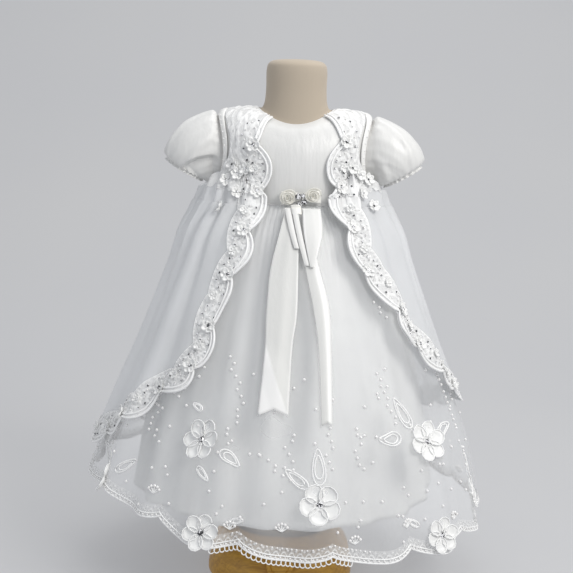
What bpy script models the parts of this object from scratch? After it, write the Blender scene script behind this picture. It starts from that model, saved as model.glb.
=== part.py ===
# A baby's christening gown on a limbless dress form with a lobed wooden base.
#
# Metres, +Z up. The gown faces -Y, and the origin is the centre of the base's underside.
# A turn is in degrees round the Z axis: -90 is the centre front, 0 the side at +X, 90 the centre back.
# A level counts the rings of a surface from the neck edge downwards.
# Each cloth surface is one sheet of triangles. Panels are cut from it, given a wall, and whatever
# lies on a panel is cut from the same triangles and moved further out, so layers never cross.

import math
from collections import namedtuple

import bpy
import numpy as np
from mathutils import Vector
from mathutils.bvhtree import BVHTree

GAP = 0.0003            # between pieces that touch
SEAT = 0.0005           # under a flat piece on a curved one
SNAP = 0.0001           # a cut this close to a point goes through the point
FORM_EASE = 0.0004      # the bodice lies this far off the form
SATIN = 0.0012          # bodice wall
ORGANZA = 0.0010        # skirt and coat walls
RIBBON = 0.0010
LACE = 0.0012
LACE_RELIEF = 0.0020    # how far a lace flower stands up

# Heights in the tables are measured from a level this far above the base's underside.
DATUM = 0.040
BASE_TOP = 0.006
NECK_TOP = 0.665
WAIST = 0.478

# The torso, neck edge down to the waist: the height of each ring at side, front and back.
Ring = namedtuple("Ring", "side front back half_width half_depth")
TORSO = (
    Ring(side=0.599, front=0.580, back=0.590, half_width=0.0490, half_depth=0.0430),
    Ring(side=0.5985, front=0.573, back=0.584, half_width=0.0680, half_depth=0.0540),
    Ring(side=0.596, front=0.560, back=0.571, half_width=0.0870, half_depth=0.0625),
    Ring(side=0.588, front=0.545, back=0.552, half_width=0.0995, half_depth=0.0680),
    Ring(side=0.563, front=0.527, back=0.530, half_width=0.1030, half_depth=0.0710),
    Ring(side=0.525, front=0.508, back=0.509, half_width=0.1010, half_depth=0.0715),
    Ring(side=0.498, front=0.492, back=0.492, half_width=0.0975, half_depth=0.0705),
    Ring(side=WAIST, front=WAIST, back=WAIST, half_width=0.0935, half_depth=0.0690),
)

# The rest of the form: its neck above the torso, and its hips below the waist.
NECK = (
    Ring(side=0.6620, front=0.6620, back=0.6620, half_width=0.0370, half_depth=0.0360),
    Ring(side=0.6500, front=0.6500, back=0.6500, half_width=0.0405, half_depth=0.0395),
    Ring(side=0.6250, front=0.6180, back=0.6200, half_width=0.0405, half_depth=0.0390),
    Ring(side=0.6060, front=0.5920, back=0.5990, half_width=0.0425, half_depth=0.0400),
)
HIPS = (
    Ring(side=0.440, front=0.440, back=0.440, half_width=0.0895, half_depth=0.0690),
    Ring(side=0.380, front=0.380, back=0.380, half_width=0.0945, half_depth=0.0750),
    Ring(side=0.300, front=0.300, back=0.300, half_width=0.0930, half_depth=0.0745),
    Ring(side=0.200, front=0.200, back=0.200, half_width=0.0800, half_depth=0.0660),
    Ring(side=0.110, front=0.110, back=0.110, half_width=0.0640, half_depth=0.0560),
    Ring(side=BASE_TOP + GAP, front=BASE_TOP + GAP, back=BASE_TOP + GAP,
         half_width=0.0550, half_depth=0.0500),
)

# The organza skirt, and how much of each fold shows at that height.
Flare = namedtuple("Flare", "height half_width half_depth fold gather")
SKIRT_TOP = WAIST - GAP
SKIRT = (
    Flare(height=SKIRT_TOP, half_width=0.0953, half_depth=0.0708, fold=0.00, gather=0.0000),
    Flare(height=0.462, half_width=0.1120, half_depth=0.0870, fold=0.06, gather=0.0009),
    Flare(height=0.435, half_width=0.1330, half_depth=0.1080, fold=0.14, gather=0.0008),
    Flare(height=0.395, half_width=0.1490, half_depth=0.1280, fold=0.28, gather=0.0003),
    Flare(height=0.345, half_width=0.1690, half_depth=0.1520, fold=0.45, gather=0.0),
    Flare(height=0.285, half_width=0.1920, half_depth=0.1800, fold=0.65, gather=0.0),
    Flare(height=0.220, half_width=0.2190, half_depth=0.2100, fold=0.85, gather=0.0),
    Flare(height=0.155, half_width=0.2430, half_depth=0.2340, fold=1.00, gather=0.0),
    Flare(height=0.095, half_width=0.2590, half_depth=0.2500, fold=1.10, gather=0.0),
    Flare(height=0.040, half_width=0.2680, half_depth=0.2590, fold=1.15, gather=0.0),
)
# Each fold's crest, its depth at full strength and its half width in degrees.
Fold = namedtuple("Fold", "crest depth reach")
FOLDS = (
    Fold(crest=-167, depth=0.009, reach=10), Fold(crest=-147, depth=0.012, reach=10),
    Fold(crest=-129, depth=0.007, reach=8), Fold(crest=-113, depth=0.011, reach=9),
    Fold(crest=-96, depth=0.006, reach=8), Fold(crest=-79, depth=0.010, reach=9),
    Fold(crest=-60, depth=0.007, reach=9), Fold(crest=-41, depth=0.012, reach=10),
    Fold(crest=-20, depth=0.008, reach=11), Fold(crest=5, depth=0.011, reach=14),
    Fold(crest=35, depth=0.007, reach=14), Fold(crest=65, depth=0.012, reach=15),
    Fold(crest=95, depth=0.008, reach=15), Fold(crest=125, depth=0.011, reach=16),
    Fold(crest=158, depth=0.008, reach=16),
)

# The satin lining, which is narrower.
LINING_TOP = WAIST - 0.0010
LINING = (
    Flare(height=LINING_TOP, half_width=0.0939, half_depth=0.0694, fold=0.0, gather=0.0),
    Flare(height=0.462, half_width=0.0990, half_depth=0.0760, fold=0.0, gather=0.0),
    Flare(height=0.430, half_width=0.1130, half_depth=0.0920, fold=0.1, gather=0.0),
    Flare(height=0.360, half_width=0.1400, half_depth=0.1230, fold=0.2, gather=0.0),
    Flare(height=0.270, half_width=0.1690, half_depth=0.1570, fold=0.4, gather=0.0),
    Flare(height=0.180, half_width=0.1880, half_depth=0.1790, fold=0.6, gather=0.0),
    Flare(height=0.085, half_width=0.2010, half_depth=0.1930, fold=0.8, gather=0.0),
)

# How far the open coat stands off the bodice, down to the ring above the waist, and off the skirt.
Ease = namedtuple("Ease", "front side back")
COAT_EASE = (
    Ease(front=0.0021, side=0.0021, back=0.0021), Ease(front=0.0021, side=0.0021, back=0.0024),
    Ease(front=0.0021, side=0.0021, back=0.0036), Ease(front=0.0023, side=0.0023, back=0.0052),
    Ease(front=0.0030, side=0.0030, back=0.0060), Ease(front=0.0040, side=0.0090, back=0.0065),
    Ease(front=0.0048, side=0.0240, back=0.0080),
    Ease(front=0.0065, side=0.0335, back=0.0095), Ease(front=0.0028, side=0.0250, back=0.0060),
    Ease(front=0.0023, side=0.0165, back=0.0040), Ease(front=0.0022, side=0.0130, back=0.0030),
    Ease(front=0.0022, side=0.0110, back=0.0030), Ease(front=0.0022, side=0.0100, back=0.0030),
    Ease(front=0.0022, side=0.0090, back=0.0030), Ease(front=0.0022, side=0.0080, back=0.0030),
    Ease(front=0.0022, side=0.0060, back=0.0030), Ease(front=0.0022, side=0.0050, back=0.0030),
)

NEAR_EASE = 0.0030      # further out than this, the coat moves level and not along the slope

# The coat's edge, from the neck at +X down the front, round the back and up to the neck again.
Stop = namedtuple("Stop", "turn level")
COAT_EDGE = (
    Stop(turn=-44, level=0.0), Stop(turn=-47, level=0.9), Stop(turn=-58, level=2.4),
    Stop(turn=-67, level=4.1), Stop(turn=-66, level=6.0), Stop(turn=-63, level=8.8),
    Stop(turn=-61, level=10.0), Stop(turn=-56, level=11.0), Stop(turn=-47, level=11.6),
    Stop(turn=-41, level=12.3), Stop(turn=-32, level=12.9), Stop(turn=-21, level=13.4),
    Stop(turn=-8, level=13.9), Stop(turn=4, level=14.3), Stop(turn=20, level=14.7),
    Stop(turn=45, level=15.1), Stop(turn=90, level=15.4), Stop(turn=135, level=15.5),
    Stop(turn=165, level=15.4), Stop(turn=185, level=15.3), Stop(turn=199, level=15.0),
    Stop(turn=214, level=14.4), Stop(turn=225, level=13.8), Stop(turn=236, level=13.4),
    Stop(turn=242, level=12.7), Stop(turn=243, level=11.9), Stop(turn=247, level=11.2),
    Stop(turn=251, level=10.2), Stop(turn=252, level=9.0), Stop(turn=254, level=6.2),
    Stop(turn=255, level=4.1), Stop(turn=247, level=2.4), Stop(turn=238, level=0.9),
    Stop(turn=236, level=0.0),
)
SHOULDER_LEVELS = 4     # above this level the coat faces up as well as out
SHOULDER_LEAN = 0.10
COAT_NECK_LEVEL = 0.15  # the coat starts this far below the neck edge
COAT_LOBES = 28         # scallops along that edge, between the first lobe on each side of the neck
FIRST_LOBE = 0.075
SCALLOP_DEPTH = 0.012
LACE_WIDTH = 0.030
LACE_OUTER_DEPTH = 0.006
LACE_FLOWER = 0.013     # radius of a raised flower in the lace
LACE_SPARE = 0.030      # the triangles are made finer this far past the lace
LACE_EDGE = 0.034       # and no longer than this
BACK_LACE_TOP = 0.300

# The skirt's hem, which hangs a little higher at -X, most of all at the front of that side.
HEM_HEIGHT = 0.087
HEM_LIFT = 0.012
HEM_LIFT_TURN = -145
HEM_LIFT_REACH = 38
HEM_TILT = 0.022
HEM_SCALLOPS = 15
HEM_FIRST_LOBE = -113
HEM_SCALLOP_DEPTH = 0.013
HEM_CORD = 0.0010       # the embroidered edge is this much thicker
HEM_CORD_WIDTH = 0.020
HEM_RISE = 0.004        # and the back hangs this much higher than the side

# The armhole is an ellipse seen from the side.
ARM_HEIGHT = 0.544
ARM_HALF_HEIGHT = 0.0420
ARM_HALF_DEPTH = 0.0310
BODICE_ARM_EASE = 0.0048
COAT_ARM_HALF_HEIGHT = 0.0512
COAT_ARM_HALF_DEPTH = 0.0460
BINDING_WIDTH = 0.0070
ARM_LOWEST = 0.470      # no armhole reaches below this height

# The puff sleeve: where its upper and lower edge lie in front view, and how deep it is.
Puff = namedtuple("Puff", "top_x top_z low_x low_z half_depth gather")
PUFF = (
    Puff(top_x=0.1100, top_z=0.5935, low_x=0.1045, low_z=0.4995, half_depth=0.0350, gather=0.0010),
    Puff(top_x=0.1300, top_z=0.5865, low_x=0.1080, low_z=0.4985, half_depth=0.0390, gather=0.0012),
    Puff(top_x=0.1500, top_z=0.5750, low_x=0.1120, low_z=0.4985, half_depth=0.0400, gather=0.0010),
    Puff(top_x=0.1660, top_z=0.5580, low_x=0.1160, low_z=0.4995, half_depth=0.0385, gather=0.0010),
    Puff(top_x=0.1745, top_z=0.5400, low_x=0.1195, low_z=0.5015, half_depth=0.0340, gather=0.0010),
    Puff(top_x=0.1700, top_z=0.5310, low_x=0.1210, low_z=0.5030, half_depth=0.0290, gather=0.0006),
)
SLEEVE_ROOT = 0.0010    # the sleeve starts this far off the bodice's inside
SLEEVE_WALL = 0.0010
SLEEVE_COLUMNS = 30
SLEEVE_GATHERS = 10

# The flowers sewn on the skirt, each by its turn, the height of its middle and its radius.
Bloom = namedtuple("Bloom", "turn height radius")
BLOOMS = (
    Bloom(turn=-115, height=0.201, radius=0.022), Bloom(turn=-42, height=0.193, radius=0.022),
    Bloom(turn=-80, height=0.138, radius=0.023), Bloom(turn=-111, height=0.097, radius=0.021),
    Bloom(turn=-43, height=0.080, radius=0.021), Bloom(turn=-8, height=0.086, radius=0.021),
    Bloom(turn=31, height=0.091, radius=0.021), Bloom(turn=67, height=0.097, radius=0.021),
    Bloom(turn=103, height=0.102, radius=0.021), Bloom(turn=139, height=0.108, radius=0.020),
    Bloom(turn=175, height=0.114, radius=0.020), Bloom(turn=-150, height=0.122, radius=0.020),
)
BLOOM_TILT = 0.30       # flowers face up a little, as the skirt does
PETALS = 5
PETAL_THICK = 0.0018
BLOOM_HEIGHT = 0.0040

# Ribbon tails and hanging loops on the skirt's front, by height: the left and right edges.
Strip = namedtuple("Strip", "height left right")
LEFT_TAIL = (Strip(0.476, -0.008, 0.008), Strip(0.445, -0.0155, 0.009), Strip(0.402, -0.025, 0.010),
             Strip(0.350, -0.028, 0.010), Strip(0.310, -0.028, 0.0055), Strip(0.236, -0.0335, 0.0035))
RIGHT_TAIL = (Strip(0.476, 0.012, 0.024), Strip(0.417, 0.017, 0.033), Strip(0.360, 0.030, 0.050),
              Strip(0.310, 0.0385, 0.054), Strip(0.227, 0.0445, 0.057))
FIRST_LOOP = (Strip(0.476, -0.010, -0.003), Strip(0.450, -0.003, 0.004), Strip(0.429, 0.004, 0.010))
SECOND_LOOP = (Strip(0.476, -0.001, 0.006), Strip(0.440, 0.008, 0.015), Strip(0.409, 0.018, 0.024))
WIDE_LOOP = (Strip(0.476, 0.013, 0.036), Strip(0.450, 0.015, 0.039), Strip(0.426, 0.020, 0.0345),
             Strip(0.4075, 0.025, 0.030))
TAIL_NOTCH = 0.008
SMALL_NOTCH = 0.004
# The part of the skirt the ribbons are cut from, and its longest edge.
RIBBON_FRONT = 0.030
RIBBON_REACH = 0.075
RIBBON_LOWEST = 0.160
RIBBON_EDGE = 0.045

BOW_X = 0.011
BOW_Z = 0.4895
BOW_LOOP_LENGTH = 0.024
BOW_LOOP_WIDTH = 0.017
BOW_LOOP_RISE = 0.008
BOW_MIDDLE = 0.0015     # half the gap between the two loops
BOW_PINCH = 0.45        # how narrow a loop is at its ends
BOW_STEPS = 12
BOW_WALL = 0.0009
ROSE_RADIUS = 0.011
BUTTON_RADIUS = 0.0045
BUTTON_THICK = 0.0018
BUTTON_HEIGHTS = (0.500, 0.528, 0.556)
BUTTON_X = 0.004        # just beside the seam

BASE_COLUMNS = 40
BASE_LOBES = 4
BASE_RADIUS = 0.109
BASE_GROOVE = 0.017
BASE_DISH = 0.050       # how far the rim's slope reaches in from the lobes
RIM_TOP = 0.024
BOSS_RADIUS = 0.0180
BOSS_HEIGHT = -0.002
BOSS_LENGTH = 0.012

WHITE_SATIN = ("white_satin", (0.90, 0.90, 0.89, 1.0), 0.35)
WHITE_ORGANZA = ("white_organza", (0.93, 0.94, 0.95, 1.0), 0.55)
WHITE_LACE = ("white_lace", (0.95, 0.95, 0.94, 1.0), 0.60)
JERSEY = ("beige_jersey", (0.42, 0.36, 0.28, 1.0), 0.80)
WOOD = ("golden_wood", (0.45, 0.24, 0.04, 1.0), 0.40)


for old in list(bpy.data.objects):
    bpy.data.objects.remove(old, do_unlink=True)


def material_of(finish):
    name, colour, roughness = finish
    found = bpy.data.materials.get(name)
    if found:
        return found
    material = bpy.data.materials.new(name)
    material.use_nodes = True
    shader = material.node_tree.nodes["Principled BSDF"]
    shader.inputs["Base Color"].default_value = colour
    shader.inputs["Roughness"].default_value = roughness
    shader.inputs["Metallic"].default_value = 0.0
    return material


def add_object(name, points, faces, finish, sharp=40):
    mesh = bpy.data.meshes.new(name)
    lifted = [(p[0], p[1], p[2] + DATUM) for p in points]
    mesh.from_pydata(lifted, [], [tuple(int(i) for i in f) for f in faces])
    mesh.shade_smooth()
    mesh.set_sharp_from_angle(angle=math.radians(sharp))
    mesh.materials.append(material_of(finish))
    piece = bpy.data.objects.new(name, mesh)
    bpy.context.scene.collection.objects.link(piece)
    return piece


def along(rows, column, position):
    """A column of a table read between its rows on a smooth curve."""
    last = len(rows) - 1
    position = min(max(position, 0.0), float(last))
    row = min(int(position), last - 1)
    t = position - row
    before, start, end, after = (
        getattr(rows[min(max(i, 0), last)], column) for i in (row - 1, row, row + 1, row + 2))
    slope_in = (end - before) / 2
    slope_out = (after - start) / 2
    return ((2 * t**3 - 3 * t**2 + 1) * start + (t**3 - 2 * t**2 + t) * slope_in
            + (3 * t**2 - 2 * t**3) * end + (t**3 - t**2) * slope_out)


def ring_place(rows, turn, level):
    """A point on rings whose height differs between side, front and back."""
    angle = math.radians(turn)
    ends = "front" if math.sin(angle) < 0 else "back"
    side = along(rows, "side", level)
    end = along(rows, ends, level)
    height = side + (end - side) * math.sin(angle) ** 2
    return (along(rows, "half_width", level) * math.cos(angle),
            along(rows, "half_depth", level) * math.sin(angle), height)


def fold_at(turn):
    """How far the folds stand out at this turn."""
    total = 0.0
    for fold in FOLDS:
        away = abs((turn - fold.crest + 180) % 360 - 180) / fold.reach
        if away < 1:
            total += fold.depth * math.cos(math.radians(90 * away)) ** 2
    return total


def flare_place(rows, turn, level, gather_way=0.0):
    angle = math.radians(turn)
    out = along(rows, "fold", level) * fold_at(turn) + along(rows, "gather", level) * gather_way
    return ((along(rows, "half_width", level) + out) * math.cos(angle),
            (along(rows, "half_depth", level) + out) * math.sin(angle),
            along(rows, "height", level))


def fold_turns():
    """Four columns to a fold: its crest, its trough and the slopes between."""
    turns = []
    for here, there in zip(FOLDS, FOLDS[1:] + FOLDS[:1]):
        span = (there.crest - here.crest) % 360
        turns += [here.crest + span * quarter / 4 for quarter in range(4)]
    return turns


class Sheet:
    """Triangles with, for each point, its turn and level, its place and its way out."""

    def __init__(self, params, places, faces, outs=None):
        self.params = np.asarray(params, float)
        self.places = np.asarray(places, float)
        self.faces = np.asarray(faces, int)
        self.outs = self.point_normals() if outs is None else np.asarray(outs, float)

    def point_normals(self):
        a, b, c = (self.places[self.faces[:, i]] for i in range(3))
        flat = np.cross(b - a, c - a)
        total = np.zeros_like(self.places)
        for i in range(3):
            np.add.at(total, self.faces[:, i], flat)
        return total / np.linalg.norm(total, axis=1)[:, None]


def rows_sheet(rows, place):
    """Join rows of (level, turns). A row may have twice the columns of the one above."""
    params, places, faces, starts = [], [], [], []
    for level, turns in rows:
        starts.append(len(params))
        for column, turn in enumerate(turns):
            params.append((turn, level))
            places.append(place(turn, level, column))
    for i in range(len(rows) - 1):
        upper, lower = len(rows[i][1]), len(rows[i + 1][1])
        for column in range(upper):
            u0 = starts[i] + column
            u1 = starts[i] + (column + 1) % upper
            if upper == lower:
                l0 = starts[i + 1] + column
                l1 = starts[i + 1] + (column + 1) % lower
                faces += [(l0, l1, u1), (l0, u1, u0)]
            else:
                l0 = starts[i + 1] + 2 * column
                l1 = l0 + 1
                l2 = starts[i + 1] + (2 * column + 2) % lower
                faces += [(l0, l1, u0), (u0, l1, u1), (l1, l2, u1)]
    return Sheet(params, places, faces)


def finer(sheet, longest):
    """Every edge longer than this is halved, each triangle staying on its own plane."""
    params, places, outs = list(sheet.params), list(sheet.places), list(sheet.outs)
    middles, faces = {}, []

    def middle(i, j):
        key = (min(i, j), max(i, j))
        if key not in middles:
            middles[key] = len(places)
            params.append(mixed_param(params[i], params[j], 0.5))
            places.append((places[i] + places[j]) / 2)
            outs.append((outs[i] + outs[j]) / 2)
        return middles[key]

    def is_long(i, j):
        return np.linalg.norm(sheet.places[i] - sheet.places[j]) > longest

    for face in sheet.faces:
        corners, cuts = [int(i) for i in face], []
        for i, j in zip(corners, corners[1:] + corners[:1]):
            cuts.append(middle(i, j) if is_long(i, j) else None)
        # The corners are turned so that the halved edges come first.
        halved = [n for n in range(3) if cuts[n] is not None]
        first = halved[0] if len(halved) == 1 else 0
        if len(halved) == 2:
            first = (cuts.index(None) + 1) % 3
        a, b, c = corners[first:] + corners[:first]
        ab, bc, ca = cuts[first:] + cuts[:first]
        if ab is None:
            faces.append((a, b, c))
        elif bc is None:
            faces += [(a, ab, c), (ab, b, c)]
        elif ca is None:
            faces += [(ab, b, bc), (a, ab, bc), (a, bc, c)]
        else:
            faces += [(a, ab, ca), (ab, b, bc), (ca, bc, c), (ab, bc, ca)]
    return Sheet(params, places, faces, outs)


def mixed_param(p, q, t):
    """Between two turns the short way round."""
    step = (q[0] - p[0] + 180) % 360 - 180
    return np.array((p[0] + step * t, p[1] + (q[1] - p[1]) * t))


def clipped(sheet, keep):
    """The part of a sheet where keep, in metres inside the wanted edge, is positive."""
    values = np.array([keep(p, q) for p, q in zip(sheet.params, sheet.places)])
    values[np.abs(values) < SNAP] = 0.0
    params, places, outs = list(sheet.params), list(sheet.places), list(sheet.outs)
    cuts, faces = {}, []

    def cut(i, j):
        key = (min(i, j), max(i, j))
        if key not in cuts:
            a, b = key
            t = values[a] / (values[a] - values[b])
            cuts[key] = len(places)
            params.append(mixed_param(params[a], params[b], t))
            places.append(places[a] + (places[b] - places[a]) * t)
            outs.append(outs[a] + (outs[b] - outs[a]) * t)
        return cuts[key]

    for face in sheet.faces:
        if max(values[face]) <= 0:
            continue
        corners = []
        for i, j in zip(face, np.roll(face, -1)):
            if values[i] >= 0:
                corners.append(i)
            if values[i] * values[j] < 0:
                corners.append(cut(i, j))
        faces += [(corners[0], corners[n], corners[n + 1]) for n in range(1, len(corners) - 1)]
    used, index = np.unique(np.array(faces).reshape(-1), return_inverse=True)
    return Sheet(np.array(params)[used], np.array(places)[used], index.reshape(-1, 3),
                 np.array(outs)[used])


def cut_all(sheet, *keeps):
    for keep in keeps:
        sheet = clipped(sheet, keep)
    return sheet


def border(faces):
    """The sheet's open edges, in the direction of the faces they belong to."""
    ends = {(a, b) for face in faces for a, b in zip(face, np.roll(face, -1))}
    return [(a, b) for a, b in ends if (b, a) not in ends]


def wall(name, sheet, low, thick, finish):
    """A closed wall on a sheet, from low to low + thick along each point's way out."""
    count = len(sheet.places)
    depth = np.array([thick(p, q) for p, q in zip(sheet.params, sheet.places)]
                     if callable(thick) else [thick] * count)
    inner = sheet.places + sheet.outs * low
    outer = sheet.places + sheet.outs * (low + depth)[:, None]
    faces = [(a + count, b + count, c + count) for a, b, c in sheet.faces]
    faces += [(c, b, a) for a, b, c in sheet.faces]
    for a, b in sorted(border([tuple(face) for face in sheet.faces])):
        faces += [(a, b, b + count), (a, b + count, a + count)]
    return add_object(name, np.concatenate([inner, outer]), faces, finish)


def base_place(turn, level):
    """A level on the torso down to the waist, then on the skirt."""
    rings = len(TORSO) - 1
    if level <= rings:
        return ring_place(TORSO, turn, max(level, 0.0))
    if level >= rings + 1:
        return flare_place(SKIRT, turn, level - rings - 1)
    share = level - rings
    upper = np.array(ring_place(TORSO, turn, rings))
    return tuple(upper + (np.array(flare_place(SKIRT, turn, 0.0)) - upper) * share)


# Every sheet shares these columns.
FULL_TURNS = fold_turns()
HALF_TURNS = FULL_TURNS[::2]


def gather_way(column):
    """Gathers go out and in by turns."""
    return 1.0 if column % 2 else -1.0


torso = rows_sheet([(i, HALF_TURNS) for i in range(len(TORSO))],
                   lambda turn, level, column: ring_place(TORSO, turn, level))
skirt = rows_sheet([(i, FULL_TURNS) for i in range(len(SKIRT))],
                   lambda turn, level, column: flare_place(SKIRT, turn, level, gather_way(column)))
lining = rows_sheet([(i, HALF_TURNS) for i in range(len(LINING))],
                    lambda turn, level, column: flare_place(LINING, turn, level))


def coat_sheet():
    """The torso and skirt points moved out by the coat's ease, joined at the waist."""
    rings = len(TORSO)
    rows = [(i, HALF_TURNS) for i in range(rings - 1)]
    rows += [(rings + i, FULL_TURNS) for i in range(len(SKIRT))]
    half, full = len(HALF_TURNS), len(FULL_TURNS)

    def place(turn, level, column):
        if level < rings:
            source, point, ease = torso, level * half + column, COAT_EASE[level]
        else:
            source, point, ease = skirt, (level - rings) * full + column, COAT_EASE[level - 1]
        angle = math.radians(turn)
        end = ease.front if math.sin(angle) < 0 else ease.back
        share = abs(math.cos(angle)) ** 1.6
        amount = end + (ease.side - end) * share
        out = source.outs[point].copy()
        out[2] *= min(1.0, NEAR_EASE / amount) ** 2
        out /= np.linalg.norm(out)
        return source.places[point] + out * amount

    return rows_sheet(rows, place)


coat = coat_sheet()


class Route:
    """A smooth line on the coat, measured along its length."""

    def __init__(self, stops, steps=12):
        spans = len(stops) - 1
        reads = [n / steps for n in range(spans * steps + 1)]
        self.points = np.array([base_place(along(stops, "turn", r), along(stops, "level", r))
                                for r in reads])
        lengths = np.linalg.norm(np.diff(self.points, axis=0), axis=1)
        self.lengths = np.concatenate([[0.0], np.cumsum(lengths)])

    def read(self, param):
        """How far inside the line a point lies, and where along it."""
        turn, level = param
        place = np.array(base_place(turn, level))
        starts, spans = self.points[:-1], np.diff(self.points, axis=0)
        shares = ((place - starts) * spans).sum(axis=1) / (spans**2).sum(axis=1)
        shares = np.clip(shares, 0.0, 1.0)
        steps = place - starts - spans * shares[:, None]
        distances = np.linalg.norm(steps, axis=1)
        nearest = int(np.argmin(distances))
        out = np.array((place[0], place[1], SHOULDER_LEAN if level < SHOULDER_LEVELS else 0.0))
        side = np.cross(out, spans[nearest]).dot(steps[nearest])
        length = self.lengths[nearest] + np.linalg.norm(spans[nearest]) * shares[nearest]
        return math.copysign(distances[nearest], side), length


coat_route = Route(COAT_EDGE)
coat_lobe = (coat_route.lengths[-1] - 2 * FIRST_LOBE) / COAT_LOBES


def scalloped(length, size, depth):
    """Rounded lobes that meet in points."""
    return depth * abs(math.sin(math.pi * length / size)) ** 0.7


def inside_coat(param, place):
    inside, length = coat_route.read(param)
    lobes = scalloped(length - FIRST_LOBE + coat_lobe / 2, coat_lobe, SCALLOP_DEPTH)
    return inside + lobes - SCALLOP_DEPTH


def inside_lace(param, place):
    inside, length = coat_route.read(param)
    return LACE_WIDTH + scalloped(length - FIRST_LOBE, coat_lobe, LACE_OUTER_DEPTH) - inside


def arm_ellipse(place, half_height, half_depth):
    """Metres outside the armhole's ellipse, seen from the side."""
    across, up = place[1] / half_depth, (place[2] - ARM_HEIGHT) / half_height
    return (math.hypot(across, up) - 1) * half_depth


def outside_bodice_arm(param, place):
    if place[2] < ARM_LOWEST:
        return 1.0
    return arm_ellipse(place, ARM_HALF_HEIGHT + BODICE_ARM_EASE, ARM_HALF_DEPTH + BODICE_ARM_EASE)


def outside_coat_arm(param, place, spare=0.0):
    if place[2] < ARM_LOWEST:
        return 1.0
    return arm_ellipse(place, COAT_ARM_HALF_HEIGHT, COAT_ARM_HALF_DEPTH) - spare


def front(param, place):
    return -place[1] - GAP / 2


def back(param, place):
    return place[1] - GAP / 2


def right(param, place):
    return place[0] - GAP / 2


def left(param, place):
    return -place[0] - GAP / 2


def hem_height(turn):
    angle = math.radians(turn)
    lobe = 360 / HEM_SCALLOPS
    lobes = scalloped(turn - HEM_FIRST_LOBE + lobe / 2, lobe, HEM_SCALLOP_DEPTH)
    away = min(1.0, abs((turn - HEM_LIFT_TURN + 180) % 360 - 180) / HEM_LIFT_REACH)
    lift = HEM_LIFT * math.cos(math.radians(90 * away)) ** 2
    return HEM_HEIGHT - HEM_TILT * math.cos(angle) - lobes + HEM_RISE * math.sin(angle) + lift


def above_hem(param, place):
    return place[2] - hem_height(param[0])


def hem_thick(param, place):
    near = max(0.0, 1 - above_hem(param, place) / HEM_CORD_WIDTH)
    return ORGANZA + HEM_CORD * near


def make_form():
    """One smooth closed body: domed neck, shoulders, hips and a flat foot."""
    rings = NECK + TORSO + HIPS
    points, faces = [(0, 0, NECK_TOP)], []
    columns = len(HALF_TURNS)
    for level in range(len(rings)):
        points += [ring_place(rings[level:level + 1] * 2, turn, 0) for turn in HALF_TURNS]
    points.append((0, 0, BASE_TOP + GAP))
    last = len(points) - 1
    for column in range(columns):
        there = (column + 1) % columns
        faces.append((0, 1 + column, 1 + there))
        for level in range(len(rings) - 1):
            upper, lower = 1 + level * columns, 1 + (level + 1) * columns
            faces += [(lower + column, lower + there, upper + there),
                      (lower + column, upper + there, upper + column)]
        low = 1 + (len(rings) - 1) * columns
        faces.append((last, low + there, low + column))
    add_object("form", points, faces, JERSEY, sharp=50)


def make_base():
    """A lobed plinth with a round rim and a dished top that the form stands in."""
    Step = namedtuple("Step", "inset height")
    steps = (Step(0.005, -DATUM), Step(0.0, 0.006 - DATUM), Step(0.0, RIM_TOP - 0.054),
             Step(0.004, RIM_TOP - 0.038), Step(0.010, RIM_TOP - 0.027), Step(0.019, RIM_TOP - 0.016),
             Step(0.029, RIM_TOP - 0.006), Step(0.038, RIM_TOP), Step(BASE_DISH, BASE_TOP))
    points, faces = [(0, 0, -DATUM)], []
    for step in steps:
        for column in range(BASE_COLUMNS):
            turn = 2 * math.pi * column / BASE_COLUMNS
            groove = BASE_GROOVE * (1 - abs(math.sin(BASE_LOBES * turn / 2)) ** 0.6)
            radius = BASE_RADIUS - groove * (1 - step.inset / BASE_DISH) - step.inset
            points.append((radius * math.cos(turn), radius * math.sin(turn), step.height))
    points.append((0, 0, BASE_TOP))
    last = len(points) - 1
    for column in range(BASE_COLUMNS):
        there = (column + 1) % BASE_COLUMNS
        faces.append((0, 1 + there, 1 + column))
        for level in range(len(steps) - 1):
            lower, upper = 1 + level * BASE_COLUMNS, 1 + (level + 1) * BASE_COLUMNS
            faces += [(lower + column, lower + there, upper + there),
                      (lower + column, upper + there, upper + column)]
        top = 1 + (len(steps) - 1) * BASE_COLUMNS
        faces.append((last, top + column, top + there))
    add_object("base", points, faces, WOOD, sharp=50)


def disc(name, centre, normal, up, profile, columns, finish, outline=None):
    """A turned shape: rows of (radius, height) from the underside's middle to the top's middle."""
    normal, up = Vector(normal).normalized(), Vector(up)
    across = up.cross(normal).normalized()
    rise = normal.cross(across)
    points, faces = [Vector(centre) + normal * profile[0][1]], []
    for radius, height in profile[1:-1]:
        for column in range(columns):
            angle = 2 * math.pi * column / columns
            reach = radius * (outline(angle) if outline else 1.0)
            points.append(Vector(centre) + across * (reach * math.cos(angle))
                          + rise * (reach * math.sin(angle)) + normal * height)
    points.append(Vector(centre) + normal * profile[-1][1])
    last, rows = len(points) - 1, len(profile) - 2
    for column in range(columns):
        there = (column + 1) % columns
        faces.append((0, 1 + there, 1 + column))
        for row in range(rows - 1):
            low, high = 1 + row * columns, 1 + (row + 1) * columns
            faces += [(low + column, low + there, high + there),
                      (low + column, high + there, high + column)]
        top = 1 + (rows - 1) * columns
        faces.append((last, top + column, top + there))
    return add_object(name, points, faces, finish)


def surface_tree(*pieces):
    """The pieces as one tree of triangles, to find what a loose piece rests on."""
    points, faces = [], []
    for piece in pieces:
        start = len(points)
        points += [v.co - Vector((0, 0, DATUM)) for v in piece.data.vertices]
        faces += [tuple(start + i for i in f.vertices) for f in piece.data.polygons]
    return BVHTree.FromPolygons(points, faces)


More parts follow.
